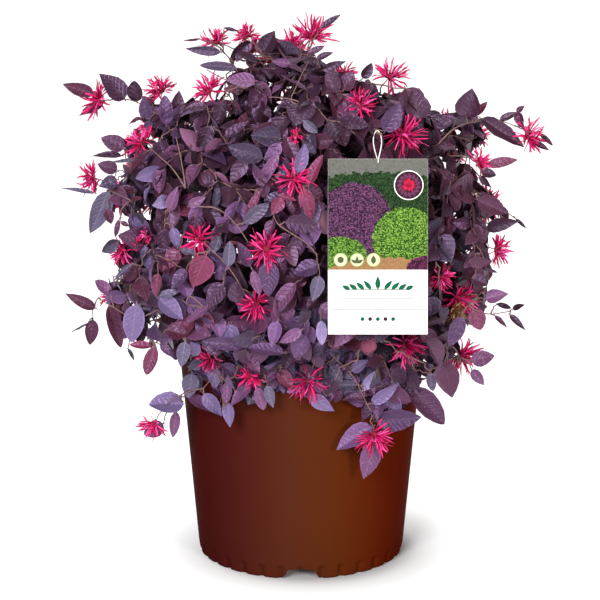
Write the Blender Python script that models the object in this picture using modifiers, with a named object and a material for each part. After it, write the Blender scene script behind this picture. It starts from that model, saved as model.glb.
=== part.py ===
"""A Chinese fringe flower shrub in its nursery pot, with a hang tag on a loop.

Metres, +Z up. The origin is the middle of the pot's flat underside, and the front faces -Y.
"""

import math
import random

import bmesh
import bpy
from mathutils import Matrix, Vector
from mathutils.bvhtree import BVHTree

UP = Vector((0.0, 0.0, 1.0))
RIGHT = Vector((1.0, 0.0, 0.0))
SEED = 5
# Solids that rest on each other keep this much air between their faces.
GAP = 0.0003
WELD = 0.00001

# Pot: a thin turned shell with a rolled rim, a fluted foot and a raised drainage channel.
POT_HEIGHT = 0.215
POT_WALL = 0.0024
WALL_FOOT_RADIUS = 0.103
WALL_TOP_RADIUS = 0.121
RIM_HEIGHT = 0.012
RIM_OVERHANG = 0.0025
FOOT_RING_WIDTH = 0.007
FOOT_CORNER = 0.003
FOOT_DISC_RADIUS = 0.070
CHANNEL_HEIGHT = 0.0115
POT_STEPS = 64
FLUTE_TOP = 0.016
FLUTE_DEPTH = 0.0016
# Points of the foot nearer the middle than this aren't pressed in.
FLUTE_INSIDE = 0.0985
NOTCHES = 4
NOTCH_HEIGHT = 0.0105
NOTCH_FOOT_WIDTH = 0.040
NOTCH_TOP_WIDTH = 0.027
NOTCH_LENGTH = 0.030
DRAIN_RADIUS = 0.006
DRAIN_SIDES = 8

# Potting mix: fills the pot to a little under its rim.
MIX_TOP = 0.190
MIX_STEPS = 30

# Trunk: short, leaning, flared where it leaves the mix.
TRUNK_HEIGHT = 0.072
TRUNK_LEAN = Vector((0.006, -0.003, 0.0))
TRUNK_FORK_RADIUS = 0.0085
TRUNK_FLARE_RADIUS = 0.0165
FLARE_LENGTH = 0.009
# The trunk's foot is this much thicker than its fork, besides the flare.
TRUNK_TAPER = 0.15
TRUNK_SIDES = 10
TRUNK_SHARES = (0.0, 0.06, 0.16, 0.32, 0.55, 0.78, 1.0)

# Boughs: how high on the trunk each ring leaves it, as a share of its height.
BOUGH_START = {"low": 0.34, "mid": 0.57, "high": 0.78, "top": 0.94}
BOUGH_RADIUS = {"low": 0.0032, "mid": 0.0034, "high": 0.0033, "top": 0.0045}
BOUGH_TIP_RADIUS = 0.0021
BOUGH_SIDES = 5
BOUGH_POINTS = 5
# A bough is tried at this share of the way to its mass's centre, then a step further each time.
BOUGH_SHORTEST = 0.45
BOUGH_STEP = 0.05
BOUGH_ARCH = (0.62, 0.40)

# Crown: a boxy egg round its heart, cut into one cell for each mass of foliage.
HEART = Vector((0.0, 0.0, 0.345))
CROWN_HALF_WIDTH = 0.208
CROWN_HALF_DEPTH = 0.196
CROWN_UP = 0.170
CROWN_DOWN = 0.165
UPPER_BOXINESS = 2.3
LOWER_BOXINESS = 3.5
FURTHEST_LEFT = -0.241
FURTHEST_RIGHT = 0.249
FURTHEST_DEPTH = 0.232
FURTHEST_UP = 0.547
LOWEST_LEAF = 0.100
# Ring: how many masses, their elevation and the azimuth of the first, in degrees.
RINGS = {"low": (6, -24, -80), "mid": (6, 12, -50), "high": (4, 48, -60), "top": (1, 90, 0)}
SIDE_NAMES = ("right", "back_right", "back", "back_left", "left", "front_left", "front", "front_right")
CELL_CENTRE = 0.62
LEADER_END = 0.80
CELL_MARGIN = 0.0004
ENTRY_DEPTH = 0.008

# Twigs
STEM_RADIUS = 0.0021
STEM_END_RADIUS = 0.0015
STEM_SIDES = 4
STEM_POINTS = 4
# How far a stem runs on in its bough's direction before it turns outward, as a share.
STEM_LEAD = 0.4
TWIG_RADIUS = 0.0016
TWIG_END_RADIUS = 0.0011
TWIG_SIDES = 3
TWIG_POINTS = 3
TWIG_SHORTEST = 0.022
TWIG_TRIES = 10
TWIG_SHIFT = 0.004
# Where a twig's middle is drawn to, as shares of its way across and up.
ARCH_UP = (0.35, 0.75)
ARCH_DOWN = (0.75, 0.20)
NODE_SPACING = 0.012
# How much longer a twig may seem when it turns back from its parent's direction.
TURN_COST = 0.6
SETTLE_STEPS = 12
SETTLE_SHARE = 0.06
# Twig ends lie in shells under the outline: how many there are, how deep and how far apart.
SHELLS = ((90, 0.020, 0.032), (36, 0.070, 0.036))
DEPTH_SPREAD = (0.7, 1.3)

# Leaves: larger than life, so that fewer of them close the crown.
LEAF_LENGTH = (0.046, 0.060)
LEAF_WIDTH = 0.56
LEAF_THICKNESS = 0.030
LEAF_WIDEST = 0.44
LEAF_THICKEST = 0.30
LEAF_FOLD = 0.20
LEAF_DROOP = 0.12
LEAF_SIDES = 4
# Degrees between a leaf and its twig, at its side and at its tip, and how far that strays.
LEAF_ANGLE = 52
TIP_LEAF_ANGLE = 8
LEAF_STRAY = 14
LEAF_SAG = 0.25
# How far a leaf's face leans up from the mass's own outward direction.
LEAF_UPTURN = (0.2, 0.8)
LEAF_SPACING = 0.016
LEAFY_LENGTH = 0.075
LEAF_TRIES = 14
LEAF_SCATTER = 0.3

# Blossom: a burst of strap petals, one solid for each cluster.
BLOOM_CORE = 0.0075
BLOOM_PETAL = 0.0155
BLOOM_SIZES = (1.0, 1.0, 1.0, 0.85, 0.85, 0.7, 0.7, 0.55)
BLOOM_LEAF_GAP = 0.016
# Behind this depth every few outer twigs carry blossom.
BACK_BLOOM_START = -0.033
BACK_BLOOM_EVERY = 4
# Clusters on the front, as they show there: places across and up.
FRONT_BLOOMS = (
    (-0.205, 0.460), (-0.140, 0.475), (-0.085, 0.522), (-0.053, 0.527), (0.010, 0.530),
    (-0.090, 0.485), (-0.207, 0.385), (-0.155, 0.435), (0.087, 0.495), (0.056, 0.475),
    (0.097, 0.450), (0.222, 0.425), (0.170, 0.415), (-0.007, 0.417), (-0.096, 0.357),
    (-0.033, 0.352), (-0.171, 0.334), (-0.043, 0.297), (0.135, 0.317), (0.191, 0.327),
    (0.152, 0.289), (0.105, 0.238), (0.160, 0.217), (-0.088, 0.224), (-0.048, 0.212),
    (0.006, 0.207), (0.071, 0.152), (-0.147, 0.130),
)
# Leafy sprigs that stand out of the crown's outline, as they show on the front.
FRONT_SPRIGS = (
    (-0.192, 0.335), (-0.203, 0.265), (-0.190, 0.225), (-0.145, 0.190), (-0.115, 0.500),
    (0.040, 0.505), (0.110, 0.460), (0.160, 0.450), (0.205, 0.385), (0.205, 0.345),
    (0.198, 0.290), (0.208, 0.240), (0.190, 0.212), (0.130, 0.158), (-0.070, 0.165),
    (0.030, 0.165), (-0.060, 0.225), (-0.105, 0.195), (-0.020, 0.240), (0.090, 0.200),
    (0.045, 0.235),
)
# Twig ends stay this far out from the pot's wall, and leaves and twigs this far off it.
POT_CLEARANCE = 0.022
POT_MARGIN = 0.0015

# Hang tag: a card that leans back against the crown, on a loop round one twig.
TAG_WIDTH = 0.091
TAG_HEIGHT = 0.160
TAG_THICKNESS = 0.0008
TAG_CENTRE = Vector((0.070, -0.190, 0.354))
TAG_LEAN = 12
TAG_HOLE_RADIUS = 0.0024
TAG_HOLE_DROP = 0.005
TAG_HOLE_SIDES = 12
TAG_ROOM = 0.080
TAG_MARGIN = 0.002
TAG_BACK_ROOM = 0.022
TAG_TWIG_TIP = Vector((0.073, -0.174, 0.455))
TAG_TWIG_HOLD = 0.012
LOOP_RADIUS = 0.0007
LOOP_HALF_WIDTH = 0.0045
LOOP_POINTS = 20
LOOP_SIDES = 4
LOOP_MARGIN = 0.004


def srgb(red, green, blue):
    """A linear colour from the three numbers of a screen colour."""
    return tuple((part / 255) ** 2.2 for part in (red, green, blue)) + (1.0,)


def make_material(name, colour, roughness):
    material = bpy.data.materials.new(name)
    material.use_nodes = True
    shader = material.node_tree.nodes["Principled BSDF"]
    shader.inputs["Base Color"].default_value = srgb(*colour)
    shader.inputs["Roughness"].default_value = roughness
    shader.inputs["Metallic"].default_value = 0.0
    return material


def clear_scene():
    for obj in list(bpy.data.objects):
        bpy.data.objects.remove(obj)


def make_collection(name):
    made = bpy.data.collections.new(name)
    bpy.context.scene.collection.children.link(made)
    return made


def add_object(name, mesh, material, home):
    obj = bpy.data.objects.new(name, mesh)
    mesh.materials.clear()
    mesh.materials.append(material)
    home.objects.link(obj)
    return obj


def hide_helper(obj):
    obj.hide_render = True
    obj.display_type = "WIRE"


def shade_round(mesh, sharpest):
    mesh.shade_smooth()
    mesh.set_sharp_from_angle(angle=math.radians(sharpest))


def apply_modifiers(obj):
    """Replaces an object's mesh by what its modifiers make of it."""
    graph = bpy.context.evaluated_depsgraph_get()
    mesh = bpy.data.meshes.new_from_object(obj.evaluated_get(graph))
    obj.modifiers.clear()
    obj.data = mesh


def add_boolean(obj, operation, other):
    modifier = obj.modifiers.new(operation.lower(), "BOOLEAN")
    modifier.operation = operation
    modifier.object = other


def turned_object(name, profile, steps, material, home):
    """A profile in the XZ plane, from its outer top to its lower middle, turned round Z."""
    mesh = bpy.data.meshes.new(name)
    shape = bmesh.new()
    corners = [shape.verts.new((radius, 0.0, height)) for radius, height in profile]
    for first, second in zip(corners, corners[1:]):
        shape.edges.new((first, second))
    shape.to_mesh(mesh)
    shape.free()
    obj = add_object(name, mesh, material, home)
    screw = obj.modifiers.new("turn", "SCREW")
    screw.steps = steps
    screw.render_steps = steps
    screw.use_merge_vertices = True
    screw.merge_threshold = WELD
    return obj


def wall_radius(height):
    """The outside radius of the pot's wall at a height."""
    share = height / (POT_HEIGHT - RIM_HEIGHT)
    return WALL_FOOT_RADIUS + (WALL_TOP_RADIUS - WALL_FOOT_RADIUS) * share


def floor_profile(lift):
    """The upper side of the pot's floor from its edge to its middle, raised by a lift."""
    channel = CHANNEL_HEIGHT + POT_WALL + lift
    return [
        (FOOT_DISC_RADIUS - 2 * lift, channel),
        (FOOT_DISC_RADIUS - POT_WALL - 2 * lift, POT_WALL + lift),
        (0.0, POT_WALL + lift),
    ]


def pot_profile():
    inner_floor = CHANNEL_HEIGHT + POT_WALL
    rim_foot = POT_HEIGHT - RIM_HEIGHT
    rim_radius = WALL_TOP_RADIUS + RIM_OVERHANG
    ring_inside = WALL_FOOT_RADIUS - FOOT_RING_WIDTH
    inside = floor_profile(0.0)[::-1] + [
        (wall_radius(inner_floor) - POT_WALL, inner_floor),
        (wall_radius(POT_HEIGHT) - POT_WALL, POT_HEIGHT - POT_WALL / 2),
    ]
    rim = [
        (wall_radius(POT_HEIGHT) - POT_WALL / 2, POT_HEIGHT),
        (rim_radius - POT_WALL / 2, POT_HEIGHT),
        (rim_radius, POT_HEIGHT - POT_WALL / 2),
        (rim_radius, rim_foot),
        (WALL_TOP_RADIUS, rim_foot),
    ]
    foot = [
        (wall_radius(FLUTE_TOP), FLUTE_TOP),
        (wall_radius(FOOT_CORNER), FOOT_CORNER),
        (WALL_FOOT_RADIUS - FOOT_CORNER, 0.0),
        (ring_inside, 0.0),
        (ring_inside, CHANNEL_HEIGHT),
        (FOOT_DISC_RADIUS + POT_WALL, CHANNEL_HEIGHT),
        (FOOT_DISC_RADIUS, 0.0),
        (0.0, 0.0),
    ]
    return inside + rim + foot


def press_flutes(mesh):
    """Every second step of the foot is pressed in, so that the foot has upright flutes."""
    for vert in mesh.vertices:
        radius = math.hypot(vert.co.x, vert.co.y)
        if vert.co.z > FLUTE_TOP - FOOT_CORNER or radius < FLUTE_INSIDE:
            continue
        step = round(math.atan2(vert.co.y, vert.co.x) / math.tau * POT_STEPS)
        if step % 2 == 0:
            vert.co.xy *= (radius - FLUTE_DEPTH) / radius


def notch_mesh():
    """One drain notch: a trapezoid across X, wide at its foot, long in Y."""
    mesh = bpy.data.meshes.new("notch")
    shape = bmesh.new()
    bmesh.ops.create_cube(shape, size=1.0)
    for vert in shape.verts:
        width = NOTCH_TOP_WIDTH if vert.co.z > 0 else NOTCH_FOOT_WIDTH
        height = NOTCH_HEIGHT if vert.co.z > 0 else -NOTCH_HEIGHT
        vert.co = Vector((vert.co.x * width, vert.co.y * NOTCH_LENGTH - WALL_FOOT_RADIUS, height))
    shape.to_mesh(mesh)
    shape.free()
    return mesh


def drain_mesh():
    """One drain hole: an upright cylinder through the channel's roof."""
    mesh = bpy.data.meshes.new("drain")
    shape = bmesh.new()
    middle = (FOOT_DISC_RADIUS + WALL_FOOT_RADIUS - FOOT_RING_WIDTH) / 2
    place = Matrix.Translation((0.0, -middle, CHANNEL_HEIGHT))
    bmesh.ops.create_cone(shape, cap_ends=True, segments=DRAIN_SIDES, radius1=DRAIN_RADIUS,
                          radius2=DRAIN_RADIUS, depth=4 * POT_WALL, matrix=place)
    shape.to_mesh(mesh)
    shape.free()
    return mesh


def add_pot(home, cutters):
    plastic = make_material("pot_plastic", (98, 47, 26), 0.35)
    pot = turned_object("pot", pot_profile(), POT_STEPS, plastic, home)
    apply_modifiers(pot)
    press_flutes(pot.data)
    for index in range(NOTCHES):
        turn = math.tau * index / NOTCHES
        for mesh, angle in ((notch_mesh(), turn), (drain_mesh(), turn + math.pi / NOTCHES)):
            cutter = add_object(f"{mesh.name}_{index + 1}", mesh, plastic, cutters)
            cutter.rotation_euler.z = angle
            hide_helper(cutter)
            add_boolean(pot, "DIFFERENCE", cutter)
    apply_modifiers(pot)
    shade_round(pot.data, 35)
    return pot


def add_mix(home):
    bark = make_material("potting_mix", (52, 37, 28), 0.9)
    slack = POT_WALL + 2 * GAP
    floor = CHANNEL_HEIGHT + POT_WALL + GAP
    profile = [
        (0.0, MIX_TOP),
        (wall_radius(MIX_TOP) - slack, MIX_TOP),
        (wall_radius(floor) - slack, floor),
    ] + floor_profile(GAP)
    mix = turned_object("potting_mix", profile, MIX_STEPS, bark, home)
    apply_modifiers(mix)
    return mix


def section(sides, guides):
    """The ring that a limb is swept with: a curve of radius 1 with the given sides."""
    name = f"section_{sides}"
    if name in bpy.data.objects:
        return bpy.data.objects[name]
    curve = bpy.data.curves.new(name, "CURVE")
    spline = curve.splines.new("POLY")
    spline.points.add(sides - 1)
    spline.use_cyclic_u = True
    for index, point in enumerate(spline.points):
        angle = math.tau * index / sides
        point.co = (math.cos(angle), math.sin(angle), 0.0, 1.0)
    ring = bpy.data.objects.new(name, curve)
    guides.objects.link(ring)
    hide_helper(ring)
    return ring


def limb_mesh(path, radii, sides, guides, closed=False):
    """A limb swept along a path with a radius at each point, as one closed mesh."""
    curve = bpy.data.curves.new("limb", "CURVE")
    curve.dimensions = "3D"
    curve.bevel_mode = "OBJECT"
    curve.bevel_object = section(sides, guides)
    curve.use_fill_caps = not closed
    spline = curve.splines.new("POLY")
    spline.points.add(len(path) - 1)
    spline.use_cyclic_u = closed
    for point, place, radius in zip(spline.points, path, radii):
        point.co = (*place, 1.0)
        point.radius = radius
    guide = bpy.data.objects.new("limb", curve)
    guides.objects.link(guide)
    graph = bpy.context.evaluated_depsgraph_get()
    mesh = bpy.data.meshes.new_from_object(guide.evaluated_get(graph))
    bpy.data.objects.remove(guide)
    bpy.data.curves.remove(curve)
    shape = bmesh.new()
    shape.from_mesh(mesh)
    bmesh.ops.remove_doubles(shape, verts=shape.verts, dist=WELD)
    bmesh.ops.recalc_face_normals(shape, faces=shape.faces)
    shape.to_mesh(mesh)
    shape.free()
    return mesh


def taper(first, last, count):
    return [first + (last - first) * index / (count - 1) for index in range(count)]


def bend(start, control, end, count):
    """Points along a curve that leaves the start towards the control and arrives from it."""
    shares = taper(0.0, 1.0, count)
    return [start.lerp(control, share).lerp(control.lerp(end, share), share) for share in shares]


def arch(start, end, shares, count):
    """A bend whose middle is drawn to these shares of the way across and up."""
    away = end - start
    flat, upright = shares
    control = start + Vector((away.x * flat, away.y * flat, away.z * upright))
    return bend(start, control, end, count)


def trunk_point(share):
    """The trunk's axis at a share of its height: upright at its foot, then leaning."""
    foot = Vector((0.0, 0.0, MIX_TOP + GAP))
    return foot + UP * TRUNK_HEIGHT * share + TRUNK_LEAN * share ** 2


def trunk_radius(share):
    flare = (TRUNK_FLARE_RADIUS - TRUNK_FORK_RADIUS) * math.exp(-share * TRUNK_HEIGHT / FLARE_LENGTH)
    return TRUNK_FORK_RADIUS * (1 + TRUNK_TAPER * (1 - share)) + flare


def trunk_mesh(clearance, guides):
    """The trunk, thickened all over by a clearance where it is to cut the boughs back."""
    path = [trunk_point(share) for share in TRUNK_SHARES]
    if clearance:
        path[0] -= UP * clearance
        path[-1] += (path[-1] - path[-2]).normalized() * clearance
    radii = [trunk_radius(share) + clearance for share in TRUNK_SHARES]
    return limb_mesh(path, radii, TRUNK_SIDES, guides)


def crown_half(rise):
    """The crown's height from its heart and its boxiness, on the side that a rise is on."""
    return (CROWN_UP, UPPER_BOXINESS) if rise > 0 else (CROWN_DOWN, LOWER_BOXINESS)


def reach(direction):
    """How far the crown's outline lies from its heart in a direction."""
    half_height, boxiness = crown_half(direction.z)
    sizes = (CROWN_HALF_WIDTH, CROWN_HALF_DEPTH, half_height)
    total = sum((abs(part) / size) ** boxiness for part, size in zip(direction, sizes))
    return total ** (-1 / boxiness)


def on_front(across, height):
    """The point of the crown's front at a place across and up, out in front of the pot."""
    half_height, boxiness = crown_half(height - HEART.z)
    rest = 1 - (abs(across) / CROWN_HALF_WIDTH) ** boxiness
    rest -= (abs(height - HEART.z) / half_height) ** boxiness
    depth = CROWN_HALF_DEPTH * max(rest, 0.0) ** (1 / boxiness)
    if height < POT_HEIGHT + POT_CLEARANCE / 2:
        around = (WALL_TOP_RADIUS + POT_CLEARANCE) ** 2 - across ** 2
        depth = max(depth, math.sqrt(max(around, 0.0)))
    return Vector((across, -depth, height))


def from_angles(azimuth, elevation):
    azimuth, elevation = math.radians(azimuth), math.radians(elevation)
    flat = math.cos(elevation)
    return Vector((flat * math.cos(azimuth), flat * math.sin(azimuth), math.sin(elevation)))


def closed_tree(mesh):
    corners = [vert.co for vert in mesh.vertices]
    return BVHTree.FromPolygons(corners, [face.vertices for face in mesh.polygons])


class Mass:
    """One mass of foliage: its cell of the crown, its limbs and the pieces grown in it."""

    def __init__(self, ring, azimuth, elevation):
        side = "" if ring == "top" else "_" + SIDE_NAMES[round(azimuth / 45) % 8]
        self.ring = ring
        self.name = f"foliage_{ring}{side}"
        self.bough_name = f"bough_{ring}{side}"
        self.outward = from_angles(azimuth, elevation)
        self.centre = HEART + self.outward * reach(self.outward) * CELL_CENTRE
        self.random = random.Random(f"{SEED} {self.name}")
        self.walls = []
        self.obstacles = []
        self.pieces = []
        self.trees = []
        self.nodes = []

    def set_walls(self, masses):
        """The cell's walls stand half way to every other mass's centre."""
        for other in masses:
            if other is not self:
                across = (other.centre - self.centre).normalized()
                self.walls.append(((self.centre + other.centre) / 2, across))

    def depth(self, point):
        """How far inside the cell a point lies."""
        return min((middle - point).dot(across) for middle, across in self.walls)

    def holds(self, mesh, tree):
        """Whether a piece stays in the cell and the crown's reach, and touches nothing else."""
        for vert in mesh.vertices:
            x, y, z = vert.co
            if self.depth(vert.co) < CELL_MARGIN or not LOWEST_LEAF < z < FURTHEST_UP:
                return False
            if not FURTHEST_LEFT < x < FURTHEST_RIGHT or abs(y) > FURTHEST_DEPTH:
                return False
        return not any(tree.overlap(other) for other in self.obstacles)

    def add_piece(self, mesh, carrier=None):
        """Keeps a piece if it fits, and says which number it got."""
        tree = closed_tree(mesh)
        others = (other for index, other in enumerate(self.trees) if index != carrier)
        if not self.holds(mesh, tree) or any(tree.overlap(other) for other in others):
            bpy.data.meshes.remove(mesh)
            return None
        self.pieces.append(mesh)
        self.trees.append(tree)
        return len(self.pieces) - 1


def make_masses():
    masses = []
    for ring, (count, elevation, first) in RINGS.items():
        for index in range(count):
            masses.append(Mass(ring, first + index * 360 / count, elevation))
    for mass in masses:
        mass.set_walls(masses)
    return masses


def bough_path(mass):
    """A bough leaves the trunk, arches outward and ends where it enters its mass."""
    start = trunk_point(BOUGH_START[mass.ring])
    share = BOUGH_SHORTEST
    while mass.depth(start.lerp(mass.centre, share)) < ENTRY_DEPTH:
        share += BOUGH_STEP
    return arch(start, start.lerp(mass.centre, share), BOUGH_ARCH, BOUGH_POINTS)


def add_bough(mass, home, bark, cutter, guides):
    path = bough_path(mass)
    radii = taper(BOUGH_RADIUS[mass.ring], BOUGH_TIP_RADIUS, BOUGH_POINTS)
    bough = add_object(mass.bough_name, limb_mesh(path, radii, BOUGH_SIDES, guides), bark, home)
    add_boolean(bough, "DIFFERENCE", cutter)
    shade_round(bough.data, 80)
    return path


def start_stem(mass, bough, guides):
    """The mass's stem carries on from its bough's tip and runs out through its cell."""
    along = (bough[-1] - bough[-2]).normalized()
    start = bough[-1] + along * GAP
    end = HEART + mass.outward * reach(mass.outward) * LEADER_END
    path = bend(start, start + along * (end - start).length * STEM_LEAD, end, STEM_POINTS)
    path.insert(1, start + along * BOUGH_TIP_RADIUS)
    radii = taper(STEM_RADIUS, STEM_END_RADIUS, len(path))
    mass.add_piece(limb_mesh(path, radii, STEM_SIDES, guides))
    add_nodes(mass, path, 0)


def place_from_tip(path, distance):
    """The point and direction of a path at a distance back from its tip."""
    for start, end in zip(path[-2::-1], path[::-1]):
        along = end - start
        if distance <= along.length:
            return end - along.normalized() * distance, along.normalized()
        distance -= along.length
    return None


def add_nodes(mass, path, piece):
    """Twigs may branch from a path every few millimetres behind its tip."""
    distance = NODE_SPACING / 2
    while place := place_from_tip(path, distance):
        mass.nodes.append((*place, piece))
        distance += NODE_SPACING


def nodes_for(mass, target):
    """The nodes that a twig to a target may leave from, the near ones that point there first."""
    def cost(node):
        away = target - node[0]
        return away.length * (1 + TURN_COST * (1 - away.normalized().dot(node[1])))
    far_enough = [node for node in mass.nodes if (target - node[0]).length > TWIG_SHORTEST]
    return sorted(far_enough, key=cost)


def twig_path(start, target):
    """A twig that climbs levels out toward its tip, and one that falls ends hanging."""
    return arch(start, target, ARCH_UP if target.z > start.z else ARCH_DOWN, TWIG_POINTS)


def grow_twig(mass, target, guides):
    """Adds the twig that reaches a target, and returns its path and number if it fits."""
    radii = taper(TWIG_RADIUS, TWIG_END_RADIUS, TWIG_POINTS)
    for start, _, parent in nodes_for(mass, target)[:TWIG_TRIES]:
        path = twig_path(start, target)
        number = mass.add_piece(limb_mesh(path, radii, TWIG_SIDES, guides), parent)
        if number is not None:
            add_nodes(mass, path, number)
            return path, number
        shift = Vector(mass.random.gauss(0, TWIG_SHIFT) for _ in range(3))
        target = settle(mass, target + shift, CELL_MARGIN)
    return None, None


def leaf_mesh(length, root, along, facing):
    """A folded, drooping leaf of a few faces, root first along X, set into place."""
    mesh = bpy.data.meshes.new("leaf")
    shape = bmesh.new()
    bmesh.ops.create_uvsphere(shape, u_segments=LEAF_SIDES, v_segments=2, radius=1.0)
    for vert in shape.verts:
        x, y, z = vert.co
        middle = LEAF_THICKEST if abs(z) > 0.5 else LEAF_WIDEST
        share = middle * (1 + x) if x < 0 else middle + (1 - middle) * x
        rise = LEAF_THICKNESS / 2 * z + LEAF_FOLD / 2 * abs(y) * LEAF_WIDTH - LEAF_DROOP * share ** 2
        vert.co = length * Vector((share, y * LEAF_WIDTH / 2, rise))
    normal = (facing - along * facing.dot(along)).normalized()
    place = Matrix((along, normal.cross(along), normal)).transposed().to_4x4()
    place.translation = root
    bmesh.ops.transform(shape, matrix=place, verts=shape.verts)
    shape.to_mesh(mesh)
    shape.free()
    return mesh


def leaf_direction(mass, along, side, terminal):
    """Where a leaf points and faces: to its side of the twig, its upper face up and outward."""
    draw = mass.random
    facing = (UP * draw.uniform(*LEAF_UPTURN) + mass.outward).normalized()
    facing += Vector(draw.gauss(0, LEAF_SCATTER) for _ in range(3))
    stray = draw.uniform(-LEAF_STRAY, LEAF_STRAY)
    angle = math.radians(TIP_LEAF_ANGLE if terminal else LEAF_ANGLE + stray)
    sideways = along.cross(facing).normalized() * side
    direction = along * math.cos(angle) + sideways * math.sin(angle)
    direction -= UP * draw.uniform(0.0, LEAF_SAG)
    return direction.normalized(), facing


def grow_leaves(mass, path, number, bloom):
    """Leaves stand left and right in turn along a twig, the first of them at its tip."""
    side = mass.random.choice((-1, 1))
    distance = BLOOM_LEAF_GAP if bloom else 0.0
    while distance < LEAFY_LENGTH and (place := place_from_tip(path, distance)):
        root, along = place
        terminal = distance == 0.0
        for _ in range(LEAF_TRIES):
            direction, facing = leaf_direction(mass, along, side, terminal)
            sunk = root - along * TWIG_RADIUS if terminal else root
            leaf = leaf_mesh(mass.random.uniform(*LEAF_LENGTH), sunk, direction, facing)
            if mass.add_piece(leaf, number) is not None:
                break
        distance += LEAF_SPACING
        side = -side


def bloom_mesh(size, place):
    """A burst of petals: an eight-sided core with a spike on each face."""
    mesh = bpy.data.meshes.new("bloom")
    shape = bmesh.new()
    bmesh.ops.create_uvsphere(shape, u_segments=4, v_segments=2, radius=BLOOM_CORE)
    bmesh.ops.poke(shape, faces=shape.faces[:], offset=BLOOM_PETAL * size)
    bmesh.ops.transform(shape, matrix=place, verts=shape.verts)
    shape.to_mesh(mesh)
    shape.free()
    return mesh


def grow_bloom(mass, path, number):
    """Sets a blossom on a twig's tip, turned until it fits, and smaller where room is short."""
    along = (path[-1] - path[-2]).normalized()
    seat = Matrix.Translation(path[-1] + along * BLOOM_CORE / 2)
    for size in BLOOM_SIZES:
        turn = Matrix.Rotation(mass.random.uniform(0, math.tau), 4, along)
        if mass.add_piece(bloom_mesh(size, seat @ turn), number) is not None:
            return True
    return False


def settle(mass, target, room):
    """Moves a target toward its mass's centre until there is room round it."""
    for _ in range(SETTLE_STEPS):
        if mass.depth(target) > room:
            break
        target = target.lerp(mass.centre, SETTLE_SHARE)
    return target


def shell_targets(taken, count, depth, spacing):
    """Targets spread evenly at a depth under the crown's outline, away from those taken."""
    targets = []
    draw = random.Random(SEED)
    golden = math.pi * (3 - math.sqrt(5))
    for index in range(count):
        height = 1 - 2 * (index + 0.5) / count
        flat = math.sqrt(1 - height ** 2)
        direction = Vector((flat * math.cos(golden * index), flat * math.sin(golden * index), height))
        point = HEART + direction * (reach(direction) - depth * draw.uniform(*DEPTH_SPREAD))
        over_pot = math.hypot(point.x, point.y) < WALL_TOP_RADIUS + POT_CLEARANCE
        if point.z < POT_HEIGHT + POT_CLEARANCE and over_pot:
            continue
        if all((point - other).length > spacing for other in taken):
            targets.append(point)
    return targets


def crown_targets():
    """Every twig's end and whether it carries blossom: the named ones, then the lattice."""
    targets = [(on_front(*place), True) for place in FRONT_BLOOMS]
    targets += [(on_front(*place), False) for place in FRONT_SPRIGS]
    for shell, sizes in enumerate(SHELLS):
        points = shell_targets([target for target, _ in targets], *sizes)
        for index, point in enumerate(points):
            behind = shell == 0 and point.y > BACK_BLOOM_START
            targets.append((point, behind and index % BACK_BLOOM_EVERY == 0))
    return [(behind_tag(target), bloom) for target, bloom in targets]


def behind_tag(point):
    """Moves a point that the tag would cover back behind it, so that leaves can stand there."""
    local = tag_frame().inverted() @ point
    beside = abs(local.x) > TAG_WIDTH / 2 or abs(local.z) > TAG_HEIGHT / 2
    if not beside:
        local.y = max(local.y, TAG_BACK_ROOM)
    return tag_frame() @ local


def tag_frame():
    """The tag's place: across along X, up along its face, and out of its front."""
    lean = Matrix.Rotation(-math.radians(TAG_LEAN), 4, "X")
    return Matrix.Translation(TAG_CENTRE) @ lean


def slab_mesh(name, low, high, place):
    """A box from its low to its high corner in a place's own axes."""
    mesh = bpy.data.meshes.new(name)
    shape = bmesh.new()
    bmesh.ops.create_cube(shape, size=1.0)
    size = high - low
    for vert in shape.verts:
        vert.co = low + Vector((part + 0.5) * length for part, length in zip(vert.co, size))
    bmesh.ops.transform(shape, matrix=place, verts=shape.verts)
    shape.to_mesh(mesh)
    shape.free()
    return mesh


def add_tag(home, cutters):
    card = make_material("tag_card", (236, 238, 230), 0.45)
    half = Vector((TAG_WIDTH, TAG_THICKNESS, TAG_HEIGHT)) / 2
    tag = add_object("hang_tag", slab_mesh("hang_tag", -half, half, tag_frame()), card, home)
    hole = bpy.data.meshes.new("tag_hole")
    shape = bmesh.new()
    across = Matrix.Rotation(math.pi / 2, 4, "X")
    height = Matrix.Translation(UP * (TAG_HEIGHT / 2 - TAG_HOLE_DROP))
    bmesh.ops.create_cone(shape, cap_ends=True, segments=TAG_HOLE_SIDES, radius1=TAG_HOLE_RADIUS,
                          radius2=TAG_HOLE_RADIUS, depth=2 * TAG_HOLE_RADIUS,
                          matrix=tag_frame() @ height @ across)
    shape.to_mesh(hole)
    shape.free()
    cutter = add_object("tag_hole", hole, card, cutters)
    hide_helper(cutter)
    add_boolean(tag, "DIFFERENCE", cutter)


def tag_room():
    """The space over and in front of the tag that leaves keep out of."""
    half_width, half_height = TAG_WIDTH / 2 + TAG_MARGIN, TAG_HEIGHT / 2 + TAG_MARGIN
    low = Vector((-half_width, -TAG_ROOM, -half_height))
    high = Vector((half_width, TAG_THICKNESS, half_height))
    return slab_mesh("tag_room", low, high, tag_frame())


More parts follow.
